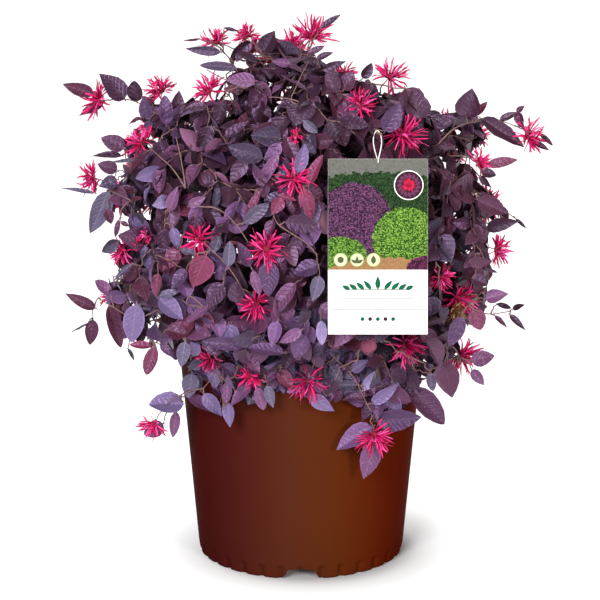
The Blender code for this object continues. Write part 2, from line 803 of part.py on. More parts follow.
def loop_path(held, thickness):
    """A loop over a twig and through the tag's hole, turning a quarter on its way down."""
    frame = tag_frame()
    outward = frame.to_3x3() @ Vector((0.0, -1.0, 0.0))
    hole_top = TAG_HEIGHT / 2 - TAG_HOLE_DROP + TAG_HOLE_RADIUS
    bottom = frame @ (UP * (hole_top - LOOP_RADIUS - GAP))
    top = held + (held - bottom).normalized() * (thickness + LOOP_RADIUS + 2 * GAP)
    path = []
    for index in range(LOOP_POINTS):
        angle = math.tau * index / LOOP_POINTS
        rise = (1 + math.cos(angle)) / 2
        quarter = math.pi / 2 * (1 - rise)
        sideways = RIGHT * math.cos(quarter) + outward * math.sin(quarter)
        path.append(bottom.lerp(top, rise) + sideways * LOOP_HALF_WIDTH * math.sin(angle))
    return path


def loop_room(path):
    margin = Vector((LOOP_MARGIN, LOOP_MARGIN, LOOP_MARGIN))
    low = Vector(min(point[axis] for point in path) for axis in range(3)) - margin
    high = Vector(max(point[axis] for point in path) for axis in range(3)) + margin
    return slab_mesh("loop_room", low, high, Matrix.Identity(4))


def add_loop(masses, home, guides):
    """Grows the twig that carries the tag, then the loop round it. Returns the loop's room."""
    mass = max(masses, key=lambda each: each.depth(TAG_TWIG_TIP))
    path, number = grow_twig(mass, TAG_TWIG_TIP, guides)
    held, _ = place_from_tip(path, TAG_TWIG_HOLD)
    loop = loop_path(held, TWIG_END_RADIUS)
    elastic = make_material("tag_loop", (240, 240, 238), 0.5)
    mesh = limb_mesh(loop, [LOOP_RADIUS] * LOOP_POINTS, LOOP_SIDES, guides, closed=True)
    add_object("tag_loop", mesh, elastic, home)
    return mass, path, number, loop_room(loop)


def keep_body(mesh):
    """Keeps the largest closed surface: sealed hollows are filled and loose scraps dropped."""
    shape = bmesh.new()
    shape.from_mesh(mesh)
    left = set(shape.verts)
    islands = []
    while left:
        island, edge = set(), [left.pop()]
        while edge:
            vert = edge.pop()
            island.add(vert)
            near = {link.other_vert(vert) for link in vert.link_edges} & left
            left -= near
            edge.extend(near)
        islands.append(island)
    islands.sort(key=len)
    for island in islands[:-1]:
        bmesh.ops.delete(shape, geom=list(island), context="VERTS")
    bmesh.ops.triangulate(shape, faces=shape.faces)
    shape.to_mesh(mesh)
    shape.free()


def fuse(mass, leaf_green, home):
    """Joins the stem, twigs, leaves and blossom of a mass into one solid."""
    parts = make_collection("pieces")
    stem = add_object(mass.name, mass.pieces[0], leaf_green, home)
    for index, mesh in enumerate(mass.pieces[1:]):
        add_object(f"piece_{index}", mesh, leaf_green, parts)
    union = stem.modifiers.new("union", "BOOLEAN")
    union.operation = "UNION"
    union.operand_type = "COLLECTION"
    union.collection = parts
    # The exact solver leaves an unclosed edge on one of these unions.
    union.solver = "MANIFOLD"
    apply_modifiers(stem)
    for obj in list(parts.objects):
        bpy.data.objects.remove(obj)
    bpy.data.collections.remove(parts)
    keep_body(stem.data)


def pot_room():
    """The space of the pot and its filling, which leaves hang clear of."""
    radius = WALL_TOP_RADIUS + RIM_OVERHANG + POT_MARGIN
    mesh = bpy.data.meshes.new("pot_room")
    shape = bmesh.new()
    top = POT_HEIGHT + POT_MARGIN
    bmesh.ops.create_cone(shape, cap_ends=True, segments=POT_STEPS, radius1=WALL_FOOT_RADIUS,
                          radius2=radius, depth=top, matrix=Matrix.Translation(UP * top / 2))
    shape.to_mesh(mesh)
    shape.free()
    return mesh


def grow_crown(masses, boughs, trunk_room, home, guides):
    foliage = make_material("foliage", (74, 42, 66), 0.5)
    limbs = [closed_tree(trunk_room)]
    for mass in masses:
        radii = taper(BOUGH_RADIUS[mass.ring], BOUGH_TIP_RADIUS, BOUGH_POINTS)
        clear = [radius + 2 * GAP for radius in radii]
        limbs.append(closed_tree(limb_mesh(boughs[mass.name], clear, BOUGH_SIDES, guides)))
    rooms = [closed_tree(pot_room()), closed_tree(tag_room())]
    for index, mass in enumerate(masses):
        mass.obstacles = [tree for place, tree in enumerate(limbs) if place != index + 1] + rooms
        start_stem(mass, boughs[mass.name], guides)
        mass.obstacles.append(limbs[index + 1])
    carrier, path, number, room = add_loop(masses, home, guides)
    for mass in masses:
        mass.obstacles.append(closed_tree(room))
    twigs = [(carrier, path, number, False)]
    for target, bloom in crown_targets():
        mass = max(masses, key=lambda each: each.depth(target))
        target = settle(mass, target, BLOOM_CORE + BLOOM_PETAL if bloom else CELL_MARGIN)
        path, number = grow_twig(mass, target, guides)
        if number is not None:
            grown = bloom and grow_bloom(mass, path, number)
            twigs.append((mass, path, number, grown))
    for twig in twigs:
        grow_leaves(*twig)
    for mass in masses:
        fuse(mass, foliage, home)


def main():
    clear_scene()
    parts = make_collection("fringe_flower_in_pot")
    cutters = make_collection("cutters")
    guides = make_collection("guides")
    add_pot(parts, cutters)
    add_mix(parts)
    bark = make_material("bark", (92, 66, 54), 0.85)
    trunk = add_object("trunk", trunk_mesh(0.0, guides), bark, parts)
    shade_round(trunk.data, 60)
    trunk_room = add_object("trunk_room", trunk_mesh(GAP, guides), bark, cutters)
    hide_helper(trunk_room)
    masses = make_masses()
    boughs = {mass.name: add_bough(mass, parts, bark, trunk_room, guides) for mass in masses}
    add_tag(parts, cutters)
    grow_crown(masses, boughs, trunk_room.data, parts, guides)


main()
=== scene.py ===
"""The looks of a Chinese fringe flower shrub in its nursery pot, with a hang tag on a loop.

Metres, +Z up, the front to -Y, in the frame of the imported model. The crown grows by the same rule
as its solids, from the same named sizes, and is carried on to finer twigs and life-size leaves.
"""

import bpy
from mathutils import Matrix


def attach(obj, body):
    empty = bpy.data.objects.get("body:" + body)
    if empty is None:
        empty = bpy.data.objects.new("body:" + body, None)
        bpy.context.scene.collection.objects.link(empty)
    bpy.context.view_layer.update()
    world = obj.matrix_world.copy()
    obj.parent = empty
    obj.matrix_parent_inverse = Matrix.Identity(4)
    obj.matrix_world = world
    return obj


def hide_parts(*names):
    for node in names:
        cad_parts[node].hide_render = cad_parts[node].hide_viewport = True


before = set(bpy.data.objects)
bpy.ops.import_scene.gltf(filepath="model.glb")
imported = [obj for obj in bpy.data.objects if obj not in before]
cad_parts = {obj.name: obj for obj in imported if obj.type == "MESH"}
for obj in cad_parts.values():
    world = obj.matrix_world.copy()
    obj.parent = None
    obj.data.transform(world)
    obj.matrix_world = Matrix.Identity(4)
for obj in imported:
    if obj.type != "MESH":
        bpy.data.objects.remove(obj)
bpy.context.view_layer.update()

import math
import random

import bpy
import numpy as np
from mathutils import Matrix, Vector, noise

UP = Vector((0.0, 0.0, 1.0))
RIGHT = Vector((1.0, 0.0, 0.0))
SEED = 5
GAP = 0.0003

# Camera: where it stands, what it looks at and its lens, for a square frame.
FRAME_PIXELS = 600
FRAME_MIDDLE = FRAME_PIXELS / 2
CAMERA_PLACE = Vector((-0.001, -2.4, 0.85))
CAMERA_AIM = Vector((-0.001, 0.0, 0.257))
CAMERA_WAY = (CAMERA_AIM - CAMERA_PLACE).normalized()
FOCAL_PIXELS = 2484
SENSOR_WIDTH = 36.0

# Studio: lamps by place, width, power in watts and colour, and the white floor.
LAMP_AIM = (0.0, 0.0, 0.28)
LAMPS = (
    ("key", (-1.1, -2.7, 1.6), 1.2, 143.0, (0.98, 0.96, 0.985)),
    ("fill", (1.5, -2.6, 0.9), 0.7, 66.0, (1.0, 0.92, 0.84)),
    ("top", (0.2, 0.4, 2.6), 1.2, 32.0, (1.0, 1.0, 1.0)),
)
WORLD_LIGHT = 0.37
FLOOR_SIZE = 14.0
FLOOR_COLOUR = (168, 168, 168)
# The floor's glow by distance from its centre, as a share of GLOW_REACH: nearly none under the pot and dim
# round its foot, a painted shadow set off to the right and the front, and brighter further off.
SHADOW_AND_GLOW_CENTRE = (0.009, -0.008, 0.0)
GLOW_REACH = 2.0
GLOW = ((0.046, 0.02), (0.056, 0.40), (0.080, 0.80), (0.24, 0.90), (1.0, 1.0))

# Fine relief: the detail of its noise, and where a mottled surface has its two colours.
PLAIN_DETAIL = 2.0
MOTTLE_DETAIL = 4.0
MOTTLE_STOPS = (0.35, 0.65)
# The fine relief of each skin: scale, strength and depth.
POT_RELIEF = (900.0, 0.12, 0.0004)
SOIL_RELIEF = (260.0, 0.9, 0.004)
CHIP_RELIEF = (500.0, 0.8, 0.0008)
TWIG_RELIEF = (900.0, 0.8, 0.0004)
BLOSSOM_RELIEF = (700.0, 0.5, 0.0004)
CARD_RELIEF = (700.0, 0.10, 0.0002)
ELASTIC_RELIEF = (1400.0, 0.6, 0.0002)

# Pot, as in the solids.
POT_HEIGHT = 0.215
POT_WALL = 0.0024
WALL_FOOT_RADIUS = 0.103
WALL_TOP_RADIUS = 0.121
RIM_HEIGHT = 0.012
RIM_OVERHANG = 0.0025
RIM_EDGE = 0.0006
# How far under the rim and over the flutes the plain wall's rows end.
WALL_ENDS = (0.0008, 0.002)
WALL_ROWS = 12
FLUTE_ROWS = 14
ROUND_STEPS = 5
MIDDLE_RADIUS = 0.002
FOOT_RING_WIDTH = 0.007
FOOT_CORNER = 0.003
FOOT_DISC_RADIUS = 0.070
CHANNEL_HEIGHT = 0.0115
FLUTES = 32
FLUTE_STEPS = 12
FLUTE_TOP = 0.0150
FLUTE_FADE = 0.0045
FLUTE_DEPTH = 0.0030
FLUTE_HALF_WIDTH = 0.0028
NOTCHES = 4
NOTCH_HEIGHT = 0.0105
NOTCH_FOOT_WIDTH = 0.040
NOTCH_TOP_WIDTH = 0.027
NOTCH_LENGTH = 0.030
NOTCH_ROUND = 0.0025
NOTCH_SPARE = 0.004
NOTCH_BELOW = 0.010
DRAIN_RADIUS = 0.006
DRAIN_SIDES = 24
POT_SHARP = 38
# The plastic's colours across the pot, by their share of the width across it from its left: its own hues,
# with painted shade darkening both sides and a painted highlight right of the middle.
POT_TINT_AND_SHADE_WIDTH = 0.24
POT_CLOUD = 0.06
POT_CLOUD_SCALE = 60.0
POT_TINTS_AND_PAINTED_SHADE = (
    (0.07, (53, 18, 16)), (0.20, (56, 23, 21)), (0.45, (64, 33, 23)), (0.66, (69, 34, 17)),
    (0.80, (71, 28, 14)), (0.92, (66, 21, 7)),
)
MIX_TOP = 0.190
SOIL_COLOURS = ((26, 18, 14), (78, 56, 40))
# Bark chips on the mix: how many, how far out and up they lie, their sizes and skins.
CHIPS = 1100
CHIPS_REACH = 0.112
CHIPS_RISE = 0.0035
CHIP_SIZES = ((0.005, 0.013), (0.003, 0.007), (0.0012, 0.003))
CHIP_PALE_SHARE = 0.3
CHIP_SHRINK = (0.6, 1.0)
CHIP_TILTS = ((0.35, "X"), (0.25, "Y"))
CHIP_SKINS = (("chip_dark", (58, 40, 29), 0.9, 0.2), ("chip_pale", (104, 76, 54), 0.9, 0.2))

# Trunk and boughs, as in the solids.
TRUNK_HEIGHT = 0.072
TRUNK_LEAN = Vector((0.006, -0.003, 0.0))
TRUNK_FORK_RADIUS = 0.0085
TRUNK_FLARE_RADIUS = 0.0165
FLARE_LENGTH = 0.009
TRUNK_TAPER = 0.15
BOUGH_START = {"low": 0.34, "mid": 0.57, "high": 0.78, "top": 0.94}
BOUGH_RADIUS = {"low": 0.0032, "mid": 0.0034, "high": 0.0033, "top": 0.0045}
BOUGH_TIP_RADIUS = 0.0021
BOUGH_SHORTEST = 0.45
BOUGH_STEP = 0.05
BOUGH_ARCH = (0.62, 0.40)
# Bark: its skin, the scale, strength, depth and stretch of its fine relief, how fast its ridges
# change across and along, and the rings, sides and relief of the trunk and of a bough.
BARK_SKIN = ("bark_skin", (104, 82, 70), 0.85, 0.25)
BARK_COLOURS = ((70, 52, 45), (134, 108, 94))
BARK_RELIEF = (420.0, 0.5, 0.0008, (1.0, 1.0, 0.3))
BARK_ACROSS = 260
BARK_ALONG = 70
BARK_KNOTS = 2.7
KNOT_SHARE = 0.5
TRUNK_BARK = (46, 36, 0.0011)
BOUGH_BARK = (40, 14, 0.00045)

# Crown, as in the solids.
HEART = Vector((0.0, 0.0, 0.345))
CROWN_HALF_WIDTH = 0.208
CROWN_HALF_DEPTH = 0.196
CROWN_UP = 0.170
CROWN_DOWN = 0.165
UPPER_BOXINESS = 2.3
LOWER_BOXINESS = 3.5
FURTHEST_LEFT = -0.246
FURTHEST_RIGHT = 0.252
FURTHEST_DEPTH = 0.232
FURTHEST_UP = 0.549
LOWEST_LEAF = 0.100
# Rings of masses: how many, their elevation and the first one's azimuth, in degrees.
RINGS = {"low": (6, -24, -80), "mid": (6, 12, -50), "high": (4, 48, -60), "top": (1, 90, 0)}
CELL_CENTRE = 0.62
LEADER_END = 0.80
ENTRY_DEPTH = 0.008

# Twigs, carried finer than in the solids.
STEM_RADII = (0.0021, 0.0013)
STEM_POINTS = 14
STEM_SIDES = 7
TWIG_SIDES = 5
STEM_LEAD = 0.4
TWIG_RADII = (0.00085, 0.00045)
CARRIER_RADII = (0.0016, 0.0011)
TWIG_POINTS = 8
TWIG_WOBBLE = 0.0009
TWIG_SHORTEST = 0.022
# How far along and up a twig's bend lies when it rises, and when it hangs.
ARCH_UP = (0.35, 0.75)
ARCH_DOWN = (0.75, 0.20)
NODE_SPACING = 0.012
TURN_COST = 0.6
# Shells of twig ends under the crown's outline: how many are tried, how deep and how far apart.
SHELLS = ((600, 0.012, 0.016), (350, 0.034, 0.020), (236, 0.075, 0.024))
DEPTH_SPREAD = (0.6, 1.4)
POT_CLEARANCE = 0.022
# How far twigs and leaves keep off the pot's side, its rim and the tag.
OFF_POT = 0.0035
OFF_RIM = 0.002
OFF_TAG = 0.0015
OVER_POT_RADIUS = 0.140
OVER_POT_NEAREST = 0.060
OVER_POT_TRIES = 900
OVER_POT_ACROSS = (184, 430)
OVER_POT_DOWN = (340, 412)
OVER_POT_BEHIND = (0.002, 0.012)
# Leaves over the pot: how they turn, lean to the front, face up and stray.
HANG_TURN = 0.9
HANG_FORWARD = (-0.1, 0.4)
HANG_UPTURN = (0.0, 0.6)
HANG_SCATTER = 0.3
TWIG_SKINS = (
    ("stem_skin", (86, 62, 58), 0.7, 0.3), ("twig_skin", (98, 74, 72), 0.6, 0.3),
    ("bare_twig_skin", (102, 80, 77), 0.6, 0.3),
)

# Leaves, life size.
LEAF_SPACING = 0.0075
SPACING_STRAY = (0.8, 1.25)
LEAFY_LENGTH = 0.080
LEAF_TRIES = 7
LEAF_ANGLE = 52
TIP_LEAF_ANGLE = 10
LEAF_STRAY = 18
LEAF_SAG = 0.40
LEAF_UPTURN = (0.1, 0.8)
LEAF_SCATTER = 0.50
LEAF_FOLD = (0.12, 0.62)
LEAF_DROOP = (0.12, 0.14)
LEAF_TWIST = 0.35
LEAF_WAVE = (0.0, 0.03)
LEAF_WAVES = 2.3
FOLD_AT_VEIN = 0.35
LEAF_SHARP = 50
LEAF_WIDEST = 0.45
LEAF_NEAR_TIP = 0.75
# Leaves deeper than this are mostly near black: painted shade inside the crown.
DEEP_INSIDE = 0.030
DEEP_PAINTED_SHADE_SHARE = 0.75
SHOWN_BARE = 0.016
SHOWN_TWIG_SHORTEST = 0.004
SHOWN_TWIG_RADII = (0.00072, 0.00042)
SHOWN_TWIG_STEPS = 5
SHOWN_TWIG_SIDES = 6
SHOWN_TWIG_ROOM = 1.5
SHOWN_SHARE = 0.42
SHOWN_UPTURN = (0.0, 0.5)
SHOWN_SCATTER = 0.25
SHOWN_FOLD = (0.12, 0.5)
SHOWN_DROOP = (0.0, 0.16)
SHOWN_TWIST = 0.25
SHOWN_TIP_NEARER = 0.002
SHOWN_PLACES = (0.3, 0.65)
SAME_DEPTH = 0.003
EDGE_DEPTH = 0.060
EDGE_ASIDE = 150
EDGE_STEPS = 80
BLOOM_BARE = 0.010
LEAF_LENGTH = (0.015, 0.033)
LEAF_WIDTH = (0.60, 0.86)
TIP_LEAF_SIZE = 0.78
SMALLER_WITHIN = 0.025
SPRAY_COLOUR_SHARE = 0.72
# Leaves are larger to the right: by how much, and how fast and from where.
LARGER_RIGHT = 0.25
LARGER_RISE = 2.5
LARGER_FROM = 0.05
# A leaf's rows along it, as shares of its length, its columns across, as shares of its half
# width, six above and three below, and the skins between the upper columns.
LEAF_ROWS = (-0.10, -0.012, 0.05, 0.17, 0.36, 0.57, 0.78, 0.93, 1.0)
LEAF_COLUMNS = (-1.0, -0.84, 0.0, 0.0, 0.84, 1.0, -0.84, 0.0, 0.84)
UPPER_COLUMNS = 6
UPPER_SLOTS = (3, 0, 2, 0, 3)
LEAF_THICKNESS = 0.00028
PETIOLE_HALF_WIDTH = 0.00045
VEIN_HALF_WIDTH = 0.00030
LEAF_BASE_ROUND = 0.50
LEAF_TIP_ROUND = (0.62, 1.0)
PUCKER = 0.00045
CRINKLE_SCALE = 210.0
CRINKLE_STRENGTH = {"near_black": 0.4}
CRINKLE_USUAL = 0.7
CRINKLE_DEPTH = 0.0016
SIDE_VEINS = "side_veins"
SIDE_VEIN_SPACING = 0.0047
SIDE_VEIN_RISE = 0.9
SIDE_VEIN_HALF_WIDTH = 0.20
SIDE_VEIN_WANDER = 0.5

# Blossom: clusters of flowers with four strap petals each.
PETAL_POINTS = 5
PETAL_WIDTH = (0.0016, 0.0025)
PETAL_HALF_THICKNESS = 0.00016
PETAL_WAVE = 0.0004
PETAL_CURL = 0.7
# A petal's width at its ends, as a share, and how fast it widens from its foot and from its tip.
PETAL_END = 0.45
PETAL_SWELL = (1.5, 3.0)
# How petals leave a flower: how evenly round it, how long, how far forward and aside, how bowed and
# turned, and how limp they and spent ones are.
PETAL_STRAY = 0.3
PETAL_LENGTH = (0.72, 1.12)
PETAL_FORWARD = (0.6, 1.1)
PETAL_ASIDE = (0.25, 0.85)
PETAL_LEAD = 0.45
PETAL_BOW = (0.0, 0.3)
PETAL_TURN = 0.5
LIMP = 0.10
SPENT_LIMP = 0.6
CALYX_SIZE = 0.0022
CALYX_SIDES = 6
CALYX_REACH = (-1.0, 0.0, 0.8)
CALYX_RADII = (0.4, 0.75, 0.35)
FLOWER_SEAT = 0.0025
BLOOM_SEAT = 0.18
FEWEST_FLOWERS = 2
FLOWERS_A_METRE = 320
CLUSTER_SPREAD = 1.05
CLUSTER_STRAY = 0.15
BACK_FROM = 0.02
BACK_BLOOM_EVERY = 6
BACK_BLOOM_WIDTH = (0.028, 0.042)
# Petal skins: the body colour with a lit copy as painted highlight and a shaded copy as painted shade, then
# the calyx and spent flowers.
BLOSSOM_SKINS = (
    ("petal_painted_highlight", (208, 70, 134), 0.5, 0.25), ("petal_bright", (192, 32, 97), 0.5, 0.25),
    ("petal_painted_shade", (154, 14, 66), 0.5, 0.25), ("calyx", (128, 38, 52), 0.6, 0.3),
    ("spent", (132, 104, 66), 0.7, 0.2), ("spent_dark", (96, 62, 44), 0.7, 0.2),
)
# Petals take the painted highlight, the body colour twice or the painted shade at random; the last slot is
# the calyx.
PETAL_SLOTS = (0, 1, 1, 2, 3)
SPENT_SLOTS = (4, 5, 5)
GOLDEN_TURN = math.pi * (3 - math.sqrt(5))

# Hang tag, as in the solids.
TAG_WIDTH = 0.091
TAG_HEIGHT = 0.160
TAG_THICKNESS = 0.0008
TAG_CENTRE = Vector((0.070, -0.190, 0.354))
TAG_LEAN = 12
TAG_FRAME = Matrix.Translation(TAG_CENTRE) @ Matrix.Rotation(-math.radians(TAG_LEAN), 4, "X")
TAG_HOLE_RADIUS = 0.0024
TAG_HOLE_DROP = 0.005
TAG_MARGIN = 0.003
TAG_BACK_ROOM = 0.022
TAG_TWIG_TIP = Vector((0.073, -0.174, 0.455))
TAG_TWIG_HOLD = 0.012
TAG_TWIG_BARE = 0.014
PRINT_LEVEL = 0.00005
PRINT_THICKNESS = 0.00006
# The picture's box on the tag's face, from left to top, and its leafy mounds and its path: middle,
# half size, whether leafy, dark and light colour.
PICTURE = (-0.0454, -0.021, 0.0454, 0.0799)
PICTURE_BACK = ((62, 62, 60), (92, 94, 88))
PICTURE_MOUNDS = (
    ((0.0, 0.010), (0.120, 0.058), True, (10, 24, 14), (44, 72, 36)),
    ((-0.021, 0.018), (0.036, 0.040), True, (22, 12, 24), (104, 62, 98)),
    ((0.026, 0.006), (0.031, 0.030), True, (18, 44, 10), (112, 152, 60)),
    ((-0.034, -0.008), (0.024, 0.017), True, (18, 44, 10), (106, 146, 58)),
    ((0.008, -0.040), (0.070, 0.030), False, (98, 70, 46), (134, 104, 72)),
    ((0.046, -0.020), (0.020, 0.012), True, (22, 12, 24), (104, 42, 78)),
)
PICTURE_LEAF_SCALE = 820.0
PICTURE_WANDER_SCALE = 230.0
PICTURE_WANDER = 0.22
PICTURE_HOLLOW = 1.1
PICTURE_SHADE = (0.75, 0.45)
# A colour mix has these sockets between its share and its colours.
MIX_SPARE_INPUTS = (None,) * 5
INKS = {
    "badge": (118, 134, 84), "cream": (166, 170, 136), "olive": (62, 70, 46), "white": (196, 197, 194),
    "plum": (46, 20, 32), "violet": (76, 42, 66), "pink": (156, 28, 58), "rule": (84, 94, 84),
    "green": (10, 74, 50),
}
# The tag's print, in millimetres. A badge has its place across, the radius of a disc inside and its
# leaves: drop, length, width and turn.
BADGES = (
    (-34.0, 2.88, ()), (-19.0, 0.0, ((3.0, 6.5, 2.8, 30), (3.0, 6.5, 2.8, 90), (3.0, 6.5, 2.8, 150))),
    (-4.0, 0.0, ((3.8, 8.0, 4.6, 90),)),
)
BADGE_HEIGHT = -12.0
BADGE_RADIUS = 6.4
BADGE_EDGE = 0.7
INSET = (28.0, 56.0, 13.5)
INSET_EDGE = 0.9
INSET_RING = 6.5
RULES = ((45.0, -57.5), (33.0, -47.5))
SPRAY_LEAVES = (6.0, 12.5, 19.0, 25.5)
SPRAY_HEIGHT = -39.0
LOOP_RADIUS = 0.0005
LOOP_HALF_WIDTH = 0.0045
LOOP_POINTS = 48
LOOP_SIDES = 8
ELASTIC_SKIN = ("elastic", (204, 201, 194), 0.6, 0.2)

# Blossom clusters on the front: place (x, y, z) and width, all in metres.
FRONT_BLOOMS = (
    (-0.197, -0.058, 0.470, 0.036), (-0.138, -0.029, 0.475, 0.034), (-0.087, 0.047, 0.512, 0.034),
    (-0.054, 0.049, 0.518, 0.028), (0.011, 0.051, 0.520, 0.048), (-0.089, -0.089, 0.485, 0.034),
    (-0.204, -0.058, 0.393, 0.034), (-0.154, -0.103, 0.436, 0.034), (0.087, -0.058, 0.494, 0.038),
    (0.056, -0.124, 0.476, 0.034), (0.097, -0.139, 0.451, 0.044), (0.222, -0.058, 0.435, 0.038),
    (0.170, -0.099, 0.415, 0.027), (-0.007, -0.182, 0.417, 0.040), (-0.096, -0.179, 0.357, 0.032),
    (-0.033, -0.193, 0.352, 0.040), (-0.171, -0.121, 0.334, 0.028), (-0.043, -0.186, 0.297, 0.036),
    (0.132, -0.157, 0.317, 0.030), (0.191, -0.084, 0.327, 0.030), (0.152, -0.131, 0.289, 0.038),
    (0.102, -0.131, 0.242, 0.042), (0.159, -0.080, 0.217, 0.044), (-0.088, -0.114, 0.224, 0.030),
    (-0.049, -0.134, 0.212, 0.026), (0.007, -0.140, 0.207, 0.040), (0.071, -0.134, 0.152, 0.042),
    (-0.145, -0.085, 0.150, 0.030),
)
SPENT_TUFT = (0.143, -0.140, 0.282, 0.022)
# Leafy sprigs at the crown's edge and over the pot's rim, as they show on the front.
FRONT_SPRIGS = (
    (0.000, 0.03, 0.520), (0.121, 0.0, 0.452), (0.165, 0.0, 0.445), (0.180, 0.0, 0.288), (0.160, 0.0, 0.234),
    (-0.074, -0.128, 0.180), (-0.020, -0.150, 0.225), (0.090, -0.138, 0.205), (-0.060, -0.148, 0.205),
    (0.150, 0.0, 0.442), (-0.130, 0.03, 0.445),
)
# Flower buds that show on the front: place across and down the frame, in pixels, and width in metres.
FRONT_BUDS = ((296, 136, 0.013), (147, 236, 0.012), (137, 243, 0.012))
# Bare twigs that stand out: places across and down the frame, in pixels, from the crown outward.
TWIGS_OVER_CROWN = (
    ((196, 205), (215, 208), (228, 216), (240, 230), (248, 242)),
    ((205, 243), (225, 263), (237, 280), (245, 295)), ((279, 225), (305, 242), (315, 253)),
    ((203, 307), (190, 296), (186, 303)), ((455, 128), (478, 121), (500, 121), (520, 128)),
    ((150, 108), (130, 100), (110, 100)), ((244, 88), (222, 78), (207, 70)),
    ((470, 306), (488, 314), (511, 311)), ((478, 196), (497, 205)), ((135, 318), (110, 305), (98, 298)),
    ((130, 200), (108, 190)), ((185, 187), (172, 168), (160, 157), (149, 147)),
    ((185, 184), (182, 165), (179, 150), (176, 137)), ((291, 101), (297, 85), (303, 72), (309, 61)),
    ((297, 101), (283, 98), (269, 97)), ((497, 205), (508, 213), (516, 219)),
    ((226, 92), (240, 86), (254, 80)), ((98, 298), (93, 309), (92, 320)),
)
TWIGS_OVER_POT = (((330, 350), (352, 375), (365, 400), (374, 420)), ((205, 355), (212, 375), (200, 392)))
